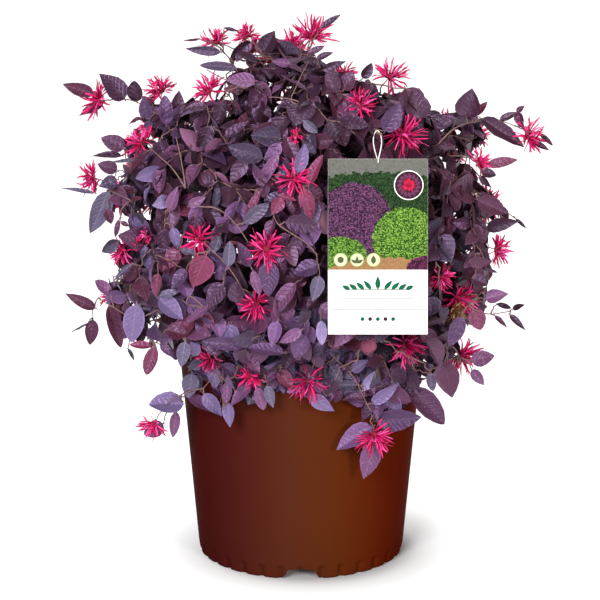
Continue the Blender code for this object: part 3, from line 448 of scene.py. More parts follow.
# Single leaves that stand out on the front: base and point across and down the frame, width,
# all in pixels, and colour. Those of one spray start with its furthest leaf.
SHOWN_LEAVES = (
    (93, 94, 63, 84, 14, "wine"), (103, 103, 79, 115, 11, "wine"), (124, 99, 101, 73, 24, "plum"),
    (137, 101, 134, 81, 16, "near_black"), (152, 104, 142, 96, 6, "wine"), (147, 118, 143, 97, 14, "violet"),
    (166, 124, 165, 96, 15, "violet"), (175, 114, 180, 92, 15, "near_black"),
    (206, 106, 184, 108, 10, "near_black"), (141, 118, 129, 123, 6, "wine"),
    (123, 149, 102, 137, 18, "plum"), (121, 156, 93, 154, 9, "near_black"), (140, 160, 110, 161, 5, "slate"),
    (117, 170, 98, 164, 14, "plum"), (117, 180, 99, 186, 14, "dusk"), (94, 193, 62, 187, 5, "slate"),
    (108, 192, 91, 234, 21, "slate"), (108, 209, 111, 224, 10, "wine"), (119, 220, 115, 237, 6, "wine"),
    (121, 222, 129, 226, 5, "wine"), (118, 241, 102, 252, 13, "slate"), (131, 264, 114, 280, 6, "slate"),
    (110, 293, 96, 280, 13, "mauve"), (105, 290, 117, 283, 8, "near_black"), (89, 323, 71, 332, 3, "slate"),
    (95, 308, 66, 294, 12, "wine"), (93, 320, 90, 345, 14, "wine"), (109, 306, 122, 348, 16, "wine"),
    (136, 305, 131, 343, 22, "lavender"), (151, 346, 130, 344, 9, "burgundy"),
    (155, 347, 146, 375, 14, "wine"), (128, 349, 135, 360, 5, "slate"), (161, 345, 175, 357, 9, "violet"),
    (220, 52, 186, 49, 10, "dusk"), (199, 39, 184, 41, 3, "near_black"), (225, 28, 238, 31, 4, "near_black"),
    (236, 68, 200, 65, 10, "dusk"), (251, 42, 231, 59, 13, "near_black"),
    (257, 62, 236, 53, 12, "near_black"), (264, 52, 274, 31, 19, "near_black"),
    (255, 81, 226, 80, 17, "mauve"), (290, 64, 272, 61, 9, "mauve"), (321, 28, 339, 14, 7, "plum"),
    (309, 53, 324, 46, 7, "near_black"), (317, 59, 332, 52, 7, "plum"), (323, 70, 345, 61, 9, "near_black"),
    (336, 92, 328, 70, 16, "near_black"), (344, 90, 352, 72, 17, "near_black"),
    (363, 78, 372, 64, 11, "near_black"), (420, 119, 414, 90, 26, "near_black"),
    (403, 113, 402, 96, 11, "near_black"), (385, 131, 400, 104, 20, "violet"),
    (466, 117, 472, 89, 26, "near_black"), (475, 115, 487, 102, 8, "burgundy"),
    (540, 134, 553, 145, 6, "near_black"), (534, 142, 549, 150, 6, "near_black"),
    (517, 112, 524, 106, 6, "near_black"), (500, 120, 518, 112, 8, "near_black"),
    (517, 112, 522, 128, 10, "wine"), (482, 119, 524, 147, 17, "near_black"),
    (488, 165, 517, 159, 11, "wine"), (482, 172, 496, 175, 10, "near_black"),
    (481, 176, 490, 188, 8, "near_black"), (516, 219, 526, 228, 4, "near_black"),
    (487, 229, 518, 219, 17, "near_black"), (478, 200, 507, 213, 19, "near_black"),
    (486, 270, 497, 272, 4, "near_black"), (470, 262, 492, 263, 13, "near_black"),
    (472, 279, 487, 284, 15, "near_black"), (510, 315, 526, 330, 7, "near_black"),
    (513, 309, 524, 304, 7, "near_black"), (495, 316, 507, 327, 6, "near_black"),
    (497, 304, 511, 308, 7, "near_black"), (486, 299, 508, 293, 15, "mauve"),
    (474, 309, 481, 330, 18, "wine"), (462, 317, 450, 346, 16, "violet"), (472, 361, 494, 355, 17, "plum"),
    (472, 370, 484, 385, 11, "mauve"), (445, 363, 452, 398, 25, "near_black"),
    (430, 374, 433, 391, 10, "slate"), (262, 158, 228, 147, 20, "dusk"), (280, 144, 263, 166, 14, "violet"),
    (278, 155, 254, 194, 12, "mauve"), (298, 172, 305, 144, 14, "lavender"),
    (309, 185, 320, 155, 13, "burgundy"), (304, 189, 311, 219, 16, "burgundy"),
    (281, 198, 272, 215, 14, "burgundy"), (279, 195, 296, 200, 8, "burgundy"),
    (215, 207, 219, 185, 11, "slate"), (189, 206, 205, 197, 10, "mauve"), (260, 192, 242, 220, 9, "wine"),
    (244, 223, 268, 204, 14, "slate"), (225, 136, 248, 121, 10, "plum"),
    (245, 160, 230, 183, 16, "near_black"), (281, 138, 251, 135, 22, "dusk"),
    (304, 121, 317, 133, 10, "slate"), (222, 103, 218, 126, 14, "near_black"),
    (170, 210, 177, 187, 13, "mauve"), (164, 229, 163, 249, 17, "plum"),
    (173, 228, 178, 249, 11, "lavender"), (206, 256, 193, 287, 27, "burgundy"),
    (220, 236, 213, 253, 9, "slate"), (228, 266, 230, 242, 13, "slate"), (250, 266, 238, 243, 15, "violet"),
    (179, 251, 162, 270, 18, "wine"), (186, 270, 171, 289, 14, "violet"), (158, 274, 155, 297, 12, "wine"),
    (223, 284, 207, 307, 20, "plum"), (236, 302, 236, 282, 16, "plum"), (145, 247, 148, 269, 12, "lavender"),
    (181, 250, 197, 254, 10, "slate"), (270, 262, 268, 297, 22, "violet"), (253, 271, 259, 295, 10, "mauve"),
    (295, 284, 274, 309, 17, "plum"), (318, 265, 294, 274, 19, "violet"), (319, 276, 313, 301, 15, "slate"),
    (321, 321, 322, 345, 11, "lilac"), (301, 330, 280, 343, 12, "mauve"), (278, 322, 271, 346, 16, "violet"),
    (286, 222, 318, 227, 19, "plum"), (159, 299, 183, 319, 20, "lavender"), (159, 296, 179, 290, 9, "slate"),
    (207, 307, 187, 321, 12, "mauve"), (167, 330, 189, 335, 18, "wine"), (244, 345, 202, 342, 14, "violet"),
    (283, 353, 246, 346, 15, "violet"), (185, 342, 181, 367, 14, "slate"),
    (211, 126, 198, 150, 16, "near_black"),
)
# Leaves that hang in front of the pot, in the same terms.
LEAVES_OVER_POT = (
    (376, 443, 363, 479, 21, "mauve"), (372, 427, 336, 449, 22, "violet"),
    (377, 421, 421, 418, 23, "violet"), (412, 389, 446, 424, 24, "plum"),
    (372, 403, 399, 385, 13, "lavender"), (363, 390, 377, 371, 11, "lilac"),
    (352, 371, 368, 360, 12, "lavender"), (387, 388, 410, 404, 19, "plum"), (371, 403, 362, 421, 11, "plum"),
    (365, 396, 342, 399, 9, "plum"), (355, 385, 330, 384, 10, "slate"), (311, 397, 334, 411, 15, "lavender"),
    (183, 404, 149, 403, 23, "lavender"), (176, 412, 173, 438, 11, "mauve"),
    (163, 424, 144, 435, 17, "mauve"), (192, 374, 188, 398, 18, "slate"), (202, 362, 188, 368, 12, "slate"),
    (189, 397, 213, 411, 14, "mauve"), (204, 394, 222, 416, 15, "lavender"),
    (228, 403, 230, 427, 13, "lavender"), (222, 365, 245, 380, 13, "violet"),
    (251, 384, 230, 405, 15, "mauve"), (228, 382, 226, 405, 11, "mauve"), (257, 388, 264, 410, 12, "mauve"),
    (267, 386, 273, 408, 11, "slate"), (262, 382, 283, 365, 11, "mauve"), (279, 371, 293, 389, 15, "wine"),
    (213, 366, 216, 388, 14, "lavender"), (300, 366, 318, 380, 14, "plum"),
    (330, 366, 342, 382, 12, "slate"), (395, 362, 402, 384, 17, "plum"), (418, 362, 430, 378, 13, "plum"),
    (408, 370, 418, 392, 15, "near_black"),
)
# The crown's edge as the front shows it, without its single leaves and sprays, in pixels.
CROWN_EDGE = (
    (141, 99), (168, 96), (173, 113), (186, 103), (206, 104), (213, 97), (224, 84), (234, 70), (229, 50),
    (250, 39), (275, 33), (294, 40), (312, 44), (318, 60), (331, 71), (345, 74), (372, 79), (386, 100),
    (410, 93), (428, 96), (434, 113), (450, 118), (468, 115), (482, 121), (486, 136), (478, 150), (469, 165),
    (478, 178), (481, 191), (493, 199), (507, 213), (514, 223), (504, 233), (487, 236), (484, 246),
    (492, 262), (488, 285), (487, 310), (479, 327), (464, 325), (456, 345), (466, 365), (446, 372),
    (437, 388), (413, 392), (408, 412), (380, 428), (362, 420), (343, 400), (322, 408), (300, 392),
    (275, 393), (262, 406), (240, 404), (226, 424), (214, 414), (189, 409), (186, 392), (188, 368),
    (178, 358), (164, 352), (150, 347), (120, 342), (108, 320), (109, 302), (99, 287), (117, 272),
    (124, 259), (106, 250), (115, 239), (136, 228), (116, 214), (106, 210), (96, 200), (106, 191),
    (119, 186), (118, 165), (131, 159), (121, 149), (106, 143), (116, 134), (131, 141), (136, 124),
)
# Lines of sight through the crown: place across and down the frame, and radius, in pixels.
SKY_GAPS = (
    (226, 43, 9), (220, 72, 8), (248, 47, 5), (225, 96, 5), (99, 189, 6), (120, 165, 5), (119, 280, 4),
    (124, 228, 5), (125, 343, 5), (239, 65, 5), (372, 73, 4), (486, 222, 4), (494, 311, 5), (471, 157, 4),
    (423, 384, 4), (268, 62, 4), (157, 318, 4), (468, 248, 4), (262, 56, 3), (252, 57, 3), (281, 34, 3),
    (284, 71, 3), (288, 90, 3), (303, 93, 2), (326, 94, 2), (302, 52, 2), (270, 85, 2), (283, 99, 2),
    (469, 163, 3), (442, 161, 2), (452, 152, 2), (452, 177, 3), (469, 214, 2), (496, 217, 3), (453, 216, 2),
    (475, 194, 2), (456, 132, 2), (139, 125, 4), (121, 153, 2), (136, 162, 2), (129, 166, 3), (119, 176, 3),
    (126, 181, 2), (108, 187, 3), (146, 212, 2), (186, 124, 2), (164, 140, 2), (228, 113, 3), (118, 212, 2),
    (182, 237, 2),
)

# Leaf colours: upper side, lower side and vein, as screen colours. Partly the leaves' own colours, partly
# painted light: near_black is partly painted shade, and lavender and lilac are partly a painted sheen.
LEAF_COLOURS = {
    "near_black": ((46, 26, 35), (62, 40, 50), (51, 32, 41)),
    "dusk": ((49, 41, 55), (66, 52, 70), (62, 53, 68)),
    "plum": ((57, 34, 50), (78, 50, 70), (66, 43, 59)),
    "violet": ((68, 48, 74), (86, 63, 94), (80, 60, 86)),
    "lavender": ((84, 72, 103), (94, 75, 108), (98, 86, 118)),
    "lilac": ((108, 96, 130), (107, 88, 122), (124, 111, 144)),
    "slate": ((60, 57, 71), (78, 68, 86), (80, 76, 90)),
    "mauve": ((84, 54, 81), (98, 69, 98), (103, 73, 97)),
    "wine": ((68, 32, 45), (88, 46, 63), (86, 48, 60)),
    "burgundy": ((88, 36, 55), (104, 54, 75), (112, 58, 77)),
}
MARGIN_TONE = 1.14
# The sheen of a leaf's upper side: roughness, specular, sheen and tint.
LEAF_GLOSS = (0.38, 0.50, 0.05, (224, 194, 250))
# Each colour's tones, more of them for more leaves.
LEAF_TONES = ((1.0,), (0.88, 1.18), (0.84, 1.02, 1.28))
LEAVES_A_TONE = 150
# How dark the crown is, as a share: in its middle, by the metre to the right and over DARK_LEVEL, and how
# much paler by the metre under PALE_LEVEL. Partly the leaves' own colours, partly painted shade to the right
# and up, where less light falls.
DARKNESS = 0.88
DARKER_RIGHT = 4.4
DARKER_UP = 3.2
DARK_LEVEL = 0.33
PALER_DOWN = 5.5
PALE_LEVEL = 0.30
# How often each colour falls on the dark side, at the right and the top, on the pale side and over the pot:
# partly the leaves' own colours, partly painted shade on the dark side and a painted sheen in the lavender
# and lilac of the pale side and over the pot.
DARK_SIDE = {
    "near_black": 0.54, "dusk": 0.10, "plum": 0.25, "violet": 0.03, "mauve": 0.02, "wine": 0.06,
}
PALE_SIDE = {
    "near_black": 0.08, "dusk": 0.06, "plum": 0.22, "violet": 0.26, "lavender": 0.12, "lilac": 0.04,
    "slate": 0.09, "mauve": 0.08, "wine": 0.05,
}
OVER_POT_SIDE = {
    "near_black": 0.05, "plum": 0.20, "violet": 0.22, "lavender": 0.16, "lilac": 0.05, "slate": 0.20,
    "mauve": 0.12,
}


def srgb(red, green, blue):
    """A linear colour from the three numbers of a screen colour."""
    return tuple((part / 255) ** 2.2 for part in (red, green, blue)) + (1.0,)


def make_material(name, colour, roughness, specular=0.5, sheen=0.0, tint=(255, 255, 255), ior=1.45):
    material = bpy.data.materials.new(name)
    material.use_nodes = True
    inputs = material.node_tree.nodes["Principled BSDF"].inputs
    values = {
        "Base Color": srgb(*colour), "Roughness": roughness, "Specular IOR Level": specular, "IOR": ior,
        "Sheen Weight": sheen, "Sheen Tint": srgb(*tint), "Specular Tint": srgb(*tint),
    }
    for socket, value in values.items():
        inputs[socket].default_value = value
    return material


def add_node(tree, kind, *inputs, **settings):
    """A node with settings, its first inputs set to values or linked to sockets. Returns its outputs."""
    node = tree.nodes.new(kind)
    for name, value in settings.items():
        setattr(node, name, value)
    for socket, value in zip(node.inputs, inputs):
        if isinstance(value, bpy.types.NodeSocket):
            tree.links.new(value, socket)
        elif value is not None:
            socket.default_value = value
    return node.outputs


def add_math(tree, operation, *inputs):
    return add_node(tree, "ShaderNodeMath", *inputs, operation=operation)[0]


def object_place(tree):
    return add_node(tree, "ShaderNodeTexCoord")["Object"]


def link_to_shader(tree, output, socket):
    tree.links.new(output, tree.nodes["Principled BSDF"].inputs[socket])


def add_ramp(tree, share, stops):
    """Colours by a share, through stops that each have a position and a colour."""
    colour = add_node(tree, "ShaderNodeValToRGB", share)["Color"]
    elements = colour.node.color_ramp.elements
    while len(elements) < len(stops):
        elements.new(1.0)
    for element, (position, value) in zip(elements, stops):
        element.position = position
        element.color = value
    return colour


def add_bump(tree, height, strength, depth):
    relief = add_node(tree, "ShaderNodeBump")["Normal"]
    inputs = relief.node.inputs
    inputs["Strength"].default_value = strength
    inputs["Distance"].default_value = depth
    tree.links.new(height, inputs["Height"])
    link_to_shader(tree, relief, "Normal")


def add_relief(material, scale, strength, depth, detail=PLAIN_DETAIL, stretch=None):
    """A surface's fine relief, by noise in the object's own place. Returns the noise."""
    tree = material.node_tree
    place = object_place(tree)
    if stretch:
        place = add_node(tree, "ShaderNodeMapping", place, None, None, stretch)[0]
    pattern = add_node(tree, "ShaderNodeTexNoise", place, None, scale, detail)[0]
    add_bump(tree, pattern, strength, depth)
    return pattern


def add_mottle(material, colours, scale, strength, depth, stretch=None):
    """Relief, and a base that runs between two colours with it."""
    tree = material.node_tree
    pattern = add_relief(material, scale, strength, depth, MOTTLE_DETAIL, stretch)
    stops = [(position, srgb(*colour)) for position, colour in zip(MOTTLE_STOPS, colours)]
    link_to_shader(tree, add_ramp(tree, pattern, stops), "Base Color")


def make_skins(skins, *relief):
    """Materials of one base colour each that share their fine relief."""
    materials = [make_material(*skin) for skin in skins]
    for material in materials:
        add_relief(material, *relief)
    return materials


def dress_node(name, material):
    """Gives a CAD node that stays its material."""
    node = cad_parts[name]
    node.data.materials.clear()
    node.data.materials.append(material)


def nodes_named(*starts):
    return [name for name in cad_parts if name.startswith(starts)]


def add_object(name, data):
    obj = bpy.data.objects.new(name, data)
    bpy.context.scene.collection.objects.link(obj)
    return obj


def mesh_object(name, vertices, faces, materials, slots=None, smooth=True):
    """An object from arrays: vertices (n, 3), faces as a list of index lists or an array."""
    mesh = bpy.data.meshes.new(name)
    mesh.from_pydata(np.asarray(vertices).tolist(), [], [list(map(int, face)) for face in faces])
    for material in materials:
        mesh.materials.append(material)
    if slots is not None:
        mesh.polygons.foreach_set("material_index", np.asarray(slots, np.int32))
    if smooth:
        mesh.polygons.foreach_set("use_smooth", np.ones(len(mesh.polygons), bool))
    mesh.update()
    return add_object(name, mesh)


def place_piece(obj, slot, *nodes):
    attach(obj, "root")
    if nodes:
        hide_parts(*nodes)


class Gatherer:
    """Gathers many small meshes into one."""

    def __init__(self):
        self.vertices, self.faces, self.slots, self.count = [], [], [], 0

    def add(self, vertices, faces, slot=0):
        vertices = np.asarray(vertices, float)
        self.vertices.append(vertices)
        self.faces.extend([[index + self.count for index in face] for face in faces])
        self.slots.extend([slot] * len(faces))
        self.count += len(vertices)

    def build(self, name, materials, smooth=True):
        return mesh_object(name, np.concatenate(self.vertices), self.faces, materials, self.slots, smooth)


def taper(first, last, count):
    return [first + (last - first) * index / (count - 1) for index in range(count)]


def bend(start, control, end, count):
    shares = taper(0.0, 1.0, count)
    return [start.lerp(control, share).lerp(control.lerp(end, share), share) for share in shares]


def arch(start, end, shares, count):
    away = end - start
    flat, upright = shares
    control = start + Vector((away.x * flat, away.y * flat, away.z * upright))
    return bend(start, control, end, count)


def arc(across, up, radius, first, last, count):
    """Points on a round of a flat outline, from one angle to another, in degrees."""
    turns = [math.radians(angle) for angle in taper(first, last, count)]
    return [(across + radius * math.cos(turn), up + radius * math.sin(turn)) for turn in turns]


def stray(draw, spread):
    return Vector(draw.gauss(0, spread) for _ in range(3))


def square_to(along, way):
    """The part of a way that is square to another, one unit long."""
    return (way - along * way.dot(along)).normalized()


def smooth_between(before, start, end, after, share):
    """The point at a share of the way from start to end, on a curve through all four points."""
    pull_in, pull_out = (end - before) / 2, (after - start) / 2
    square, cube = share ** 2, share ** 3
    point = start * (2 * cube - 3 * square + 1) + pull_in * (cube - 2 * square + share)
    return point + end * (3 * square - 2 * cube) + pull_out * (cube - square)


def ring_faces(rings, sides, closed=False):
    """Faces between rings of vertices, capped at both ends unless the last ring meets the first."""
    faces = []
    for ring in range(rings if closed else rings - 1):
        low, high = ring * sides, (ring + 1) % rings * sides
        for side in range(sides):
            turn = (side + 1) % sides
            faces.append((low + side, low + turn, high + turn, high + side))
    if not closed:
        faces += [tuple(range(sides))[::-1], tuple(range((rings - 1) * sides, rings * sides))]
    return faces


def tube(path, radii, sides, closed=False):
    """Vertices and faces of a round limb along a path."""
    count = len(path)
    vertices = []
    before = path[-1] if closed else path[0]
    guide = None
    for index, point in enumerate(path):
        after = path[(index + 1) % count] if closed or index + 1 < count else point
        along = (after - before).normalized()
        before = point
        if guide is None:
            guide = along.orthogonal()
        guide = square_to(along, guide)
        across = along.cross(guide)
        for side in range(sides):
            angle = math.tau * side / sides
            vertices.append(point + (guide * math.cos(angle) + across * math.sin(angle)) * radii[index])
    return vertices, ring_faces(count, sides, closed)


def seen(points):
    """Where points fall in the frame, in pixels, and how far they are from the camera."""
    forward = np.array(CAMERA_WAY)
    up = np.cross((1.0, 0.0, 0.0), forward)
    away = np.asarray(points, float) - np.array(CAMERA_PLACE)
    distance = away @ forward
    across = FRAME_MIDDLE + FOCAL_PIXELS * away[..., 0] / distance
    down = FRAME_MIDDLE - FOCAL_PIXELS * (away @ up) / distance
    return across, down, distance


def on_plane(across, down, depth):
    """The point that a place in the frame shows, at a depth."""
    aside = RIGHT * (across - FRAME_MIDDLE) + RIGHT.cross(CAMERA_WAY) * (FRAME_MIDDLE - down)
    way = CAMERA_WAY + aside / FOCAL_PIXELS
    return CAMERA_PLACE + way * ((depth - CAMERA_PLACE.y) / way.y)


def on_front(across, down):
    """Where a line of sight meets the crown's outline, or a little before its middle where it misses."""
    aside = min(abs(across - FRAME_MIDDLE) / EDGE_ASIDE, 1.0)
    for depth in taper(-CROWN_HALF_DEPTH, -EDGE_DEPTH * aside, EDGE_STEPS):
        point = on_plane(across, down, depth)
        away = point - HEART
        if away.length < reach(away.normalized()):
            break
    return point


def over_pot(across, down):
    """The point just in front of the pot's wall that a place in the frame shows."""
    point = on_plane(across, down, -OVER_POT_RADIUS)
    depth = math.sqrt(max(OVER_POT_RADIUS ** 2 - point.x ** 2, OVER_POT_NEAREST ** 2))
    return on_plane(across, down, -depth)


def inside_edge(across, down):
    """Whether places in the frame lie within the crown's edge."""
    edge = np.array(CROWN_EDGE, float)
    ends = np.roll(edge, -1, axis=0)
    crosses = (edge[:, 1] > down[:, None]) != (ends[:, 1] > down[:, None])
    drop = np.where(ends[:, 1] == edge[:, 1], 1.0, ends[:, 1] - edge[:, 1])
    cut = edge[:, 0] + (down[:, None] - edge[:, 1]) / drop * (ends[:, 0] - edge[:, 0])
    return (crosses & (across[:, None] < cut)).sum(1) % 2 == 1


def add_aimed(name, data, place, aim):
    """A camera or lamp, turned to where it is aimed."""
    obj = add_object(name, data)
    obj.location = place
    obj.rotation_euler = (Vector(aim) - Vector(place)).to_track_quat("-Z", "Y").to_euler()
    return obj


def add_camera():
    data = bpy.data.cameras.new("camera")
    data.sensor_width = SENSOR_WIDTH
    data.lens = SENSOR_WIDTH * FOCAL_PIXELS / FRAME_PIXELS
    bpy.context.scene.camera = add_aimed("camera", data, CAMERA_PLACE, CAMERA_AIM)


def floor_paper():
    """White paper that glows, brighter the further off it is, and dim under and round the pot's foot as a
    painted shadow.
    """
    paper = make_material("floor_paper", FLOOR_COLOUR, 0.9, specular=0.0)
    tree = paper.node_tree
    tree.nodes["Principled BSDF"].inputs["Emission Strength"].default_value = 1.0
    place = object_place(tree)
    away = add_node(tree, "ShaderNodeVectorMath", place, SHADOW_AND_GLOW_CENTRE, operation="DISTANCE")
    share = add_math(tree, "DIVIDE", away["Value"], GLOW_REACH)
    stops = [(position, (level, level, level, 1.0)) for position, level in GLOW]
    link_to_shader(tree, add_ramp(tree, share, stops), "Emission Color")
    return paper


def add_studio():
    scene = bpy.context.scene
    scene.view_settings.view_transform = "Standard"
    scene.world = bpy.data.worlds.new("studio")
    scene.world.use_nodes = True
    background = scene.world.node_tree.nodes["Background"].inputs
    background["Color"].default_value = (1.0, 1.0, 1.0, 1.0)
    background["Strength"].default_value = WORLD_LIGHT
    for name, place, width, power, colour in LAMPS:
        data = bpy.data.lights.new(name, "AREA")
        data.shape = "DISK"
        data.size = width
        data.energy = power
        data.color = colour
        add_aimed(name, data, place, LAMP_AIM)
    corners = [(u, v, 0.0) for u, v in rectangle(-FLOOR_SIZE, -FLOOR_SIZE, FLOOR_SIZE, FLOOR_SIZE)]
    mesh_object("floor", corners, [(0, 1, 2, 3)], [floor_paper()], smooth=False)


def wall_radius(height):
    share = height / (POT_HEIGHT - RIM_HEIGHT)
    return WALL_FOOT_RADIUS + (WALL_TOP_RADIUS - WALL_FOOT_RADIUS) * share


def pot_profile():
    """The pot's section from the middle of its inner floor, over the rim, to its underside."""
    inner_floor = CHANNEL_HEIGHT + POT_WALL
    rim_foot = POT_HEIGHT - RIM_HEIGHT
    rim_radius = WALL_TOP_RADIUS + RIM_OVERHANG
    ring_inside = WALL_FOOT_RADIUS - FOOT_RING_WIDTH
    half = POT_WALL / 2
    upper, lower = WALL_ENDS
    heights = taper(rim_foot - upper, FLUTE_TOP + lower, WALL_ROWS)
    heights += taper(FLUTE_TOP, FOOT_CORNER, FLUTE_ROWS)
    return [
        (MIDDLE_RADIUS, POT_WALL), (FOOT_DISC_RADIUS - POT_WALL, POT_WALL), (FOOT_DISC_RADIUS, inner_floor),
        (wall_radius(inner_floor) - POT_WALL, inner_floor),
        (wall_radius(POT_HEIGHT) - POT_WALL, POT_HEIGHT - POT_WALL),
        *arc(wall_radius(POT_HEIGHT) - half, POT_HEIGHT - half, half, 180, 90, ROUND_STEPS),
        *arc(rim_radius - half, POT_HEIGHT - half, half, 90, 0, ROUND_STEPS),
        (rim_radius, rim_foot + RIM_EDGE), (rim_radius - RIM_EDGE, rim_foot),
        (WALL_TOP_RADIUS + RIM_EDGE, rim_foot),
        *((wall_radius(height), height) for height in heights),
        *arc(wall_radius(FOOT_CORNER) - FOOT_CORNER, FOOT_CORNER, FOOT_CORNER, 0, -90, ROUND_STEPS + 1)[1:],
        (ring_inside, 0.0), (ring_inside, CHANNEL_HEIGHT), (FOOT_DISC_RADIUS + POT_WALL, CHANNEL_HEIGHT),
        (FOOT_DISC_RADIUS, 0.0), (MIDDLE_RADIUS, 0.0),
    ]


def groove(angle, height):
    """How deep a flute's groove is pressed in at an angle and a height, in metres."""
    pitch = math.tau / FLUTES
    beside = (angle / pitch + 0.5) % 1.0 - 0.5
    distance = abs(beside) * pitch * WALL_FOOT_RADIUS
    share = math.exp(-(distance / FLUTE_HALF_WIDTH) ** 2)
    fade = min(max((FLUTE_TOP - height) / FLUTE_FADE, 0.0), 1.0)
    return FLUTE_DEPTH * share * fade * fade * (3 - 2 * fade)


def notch_cutter():
    """One drain notch with rounded upper corners, wide at its foot, long in Y."""
    aside, top = NOTCH_TOP_WIDTH / 2 - NOTCH_ROUND, NOTCH_HEIGHT - NOTCH_ROUND
    foot = NOTCH_FOOT_WIDTH / 2 + NOTCH_SPARE
    outline = [(-foot, -NOTCH_BELOW), (foot, -NOTCH_BELOW)]
    outline += arc(aside, top, NOTCH_ROUND, 15, 90, ROUND_STEPS)
    outline += arc(-aside, top, NOTCH_ROUND, 90, 165, ROUND_STEPS)
    depths = (NOTCH_LENGTH / 2 - WALL_FOOT_RADIUS, -NOTCH_LENGTH / 2 - WALL_FOOT_RADIUS)
    return [(x, depth, z) for depth in depths for x, z in outline], ring_faces(2, len(outline))


def drain_cutter():
    middle = (FOOT_DISC_RADIUS + WALL_FOOT_RADIUS - FOOT_RING_WIDTH) / 2
    path = [Vector((0.0, -middle, CHANNEL_HEIGHT + rise)) for rise in (-2 * POT_WALL, 2 * POT_WALL)]
    return tube(path, [DRAIN_RADIUS] * 2, DRAIN_SIDES)


def pot_plastic():
    """Matt plastic with a fine grain, browner in the middle than at its sides: partly its own hues, partly
    painted shade on the sides and a painted highlight right of the middle.
    """
    plastic = make_material("moulded_plastic", POT_TINTS_AND_PAINTED_SHADE[2][1], 0.42, specular=0.06, ior=1.05)
    add_relief(plastic, *POT_RELIEF, MOTTLE_DETAIL)
    tree = plastic.node_tree
    place = object_place(tree)
    across = add_node(tree, "ShaderNodeSeparateXYZ", place)[0]
    share = add_math(tree, "MULTIPLY_ADD", across, 1 / POT_TINT_AND_SHADE_WIDTH, 0.5)
    grain = add_node(tree, "ShaderNodeTexNoise", place, None, POT_CLOUD_SCALE)[0]
    share = add_math(tree, "ADD", share, add_math(tree, "MULTIPLY_ADD", grain, POT_CLOUD, -POT_CLOUD / 2))
    stops = [(position, srgb(*colour)) for position, colour in POT_TINTS_AND_PAINTED_SHADE]
    link_to_shader(tree, add_ramp(tree, share, stops), "Base Color")
    return plastic


def add_pot():
    profile = pot_profile()
    steps = FLUTES * FLUTE_STEPS
    vertices = []
    for radius, height in profile:
        fluted = radius > WALL_FOOT_RADIUS - 2 * FOOT_CORNER and height < FLUTE_TOP
        for step in range(steps):
            angle = math.tau * step / steps
            own = radius - groove(angle, height) if fluted else radius
            vertices.append((own * math.cos(angle), own * math.sin(angle), height))
    plastic = pot_plastic()
    body = mesh_object("nursery_pot", vertices, ring_faces(len(profile), steps), [plastic])
    cutters = []
    for index in range(NOTCHES):
        turn = math.tau * index / NOTCHES
        for maker, angle in ((notch_cutter, turn), (drain_cutter, turn + math.pi / NOTCHES)):
            cutter = mesh_object(f"cutter_{len(cutters)}", *maker(), [plastic], smooth=False)
            cutter.rotation_euler.z = angle
            cut = body.modifiers.new("cut", "BOOLEAN")
            cut.operation = "DIFFERENCE"
            cut.object = cutter
            cutters.append(cutter)
    made = bpy.data.meshes.new_from_object(body.evaluated_get(bpy.context.evaluated_depsgraph_get()))
    body.modifiers.clear()
    body.data = made
    made.set_sharp_from_angle(angle=math.radians(POT_SHARP))
    for cutter in cutters:
        bpy.data.objects.remove(cutter)
    place_piece(body, "pot_plastic", "pot")


def add_mix():
    """The mix's own solid takes a bark colour, and loose chips lie on it."""
    soil = make_material("mix_ground", SOIL_COLOURS[0], 0.95, specular=0.2)
    add_mottle(soil, SOIL_COLOURS, *SOIL_RELIEF)
    dress_node("potting_mix", soil)
    draw = random.Random(SEED)
    shades = make_skins(CHIP_SKINS, *CHIP_RELIEF)
    chips = Gatherer()
    for _ in range(CHIPS):
        angle, radius = draw.uniform(0, math.tau), CHIPS_REACH * math.sqrt(draw.random())
        size = Vector(draw.uniform(*sizes) for sizes in CHIP_SIZES)
        turn = Matrix.Rotation(draw.uniform(0, math.tau), 3, "Z")
        for spread, axis in CHIP_TILTS:
            turn = turn @ Matrix.Rotation(draw.gauss(0, spread), 3, axis)
        rise = MIX_TOP + draw.uniform(0.0, CHIPS_RISE)
        middle = Vector((radius * math.cos(angle), radius * math.sin(angle), rise))
        corners = []
        for z in (-0.5, 0.5):
            for x, y in rectangle(-0.5, -0.5, 0.5, 0.5):
                shrink = draw.uniform(*CHIP_SHRINK)
                corner = Vector((x * size.x * shrink, y * size.y * shrink, z * size.z))
                corners.append(middle + turn @ corner)
        chips.add(corners, ring_faces(2, 4), int(draw.random() < CHIP_PALE_SHARE))
    place_piece(chips.build("bark_chips", shades, smooth=False), "potting_mix")


def trunk_point(share):
    foot = Vector((0.0, 0.0, MIX_TOP + GAP))
    return foot + UP * TRUNK_HEIGHT * share + TRUNK_LEAN * share ** 2


def trunk_radius(share):
    flare = (TRUNK_FLARE_RADIUS - TRUNK_FORK_RADIUS) * math.exp(-share * TRUNK_HEIGHT / FLARE_LENGTH)
    return TRUNK_FORK_RADIUS * (1 + TRUNK_TAPER * (1 - share)) + flare


def reach(direction):
    """How far the crown's outline lies from its heart in a direction."""
    above = direction.z > 0
    boxiness = UPPER_BOXINESS if above else LOWER_BOXINESS
    sizes = (CROWN_HALF_WIDTH, CROWN_HALF_DEPTH, CROWN_UP if above else CROWN_DOWN)
    total = sum((abs(part) / size) ** boxiness for part, size in zip(direction, sizes))
    return total ** (-1 / boxiness)


def from_angles(azimuth, elevation):
    azimuth, elevation = math.radians(azimuth), math.radians(elevation)
    flat = math.cos(elevation)
    return Vector((flat * math.cos(azimuth), flat * math.sin(azimuth), math.sin(elevation)))


def place_from_tip(path, distance):
    """The point and direction of a path at a distance back from its tip."""
    for start, end in zip(path[-2::-1], path[::-1]):
        along = end - start
        if distance <= along.length:
            return end - along.normalized() * distance, along.normalized()
        distance -= along.length
    return None


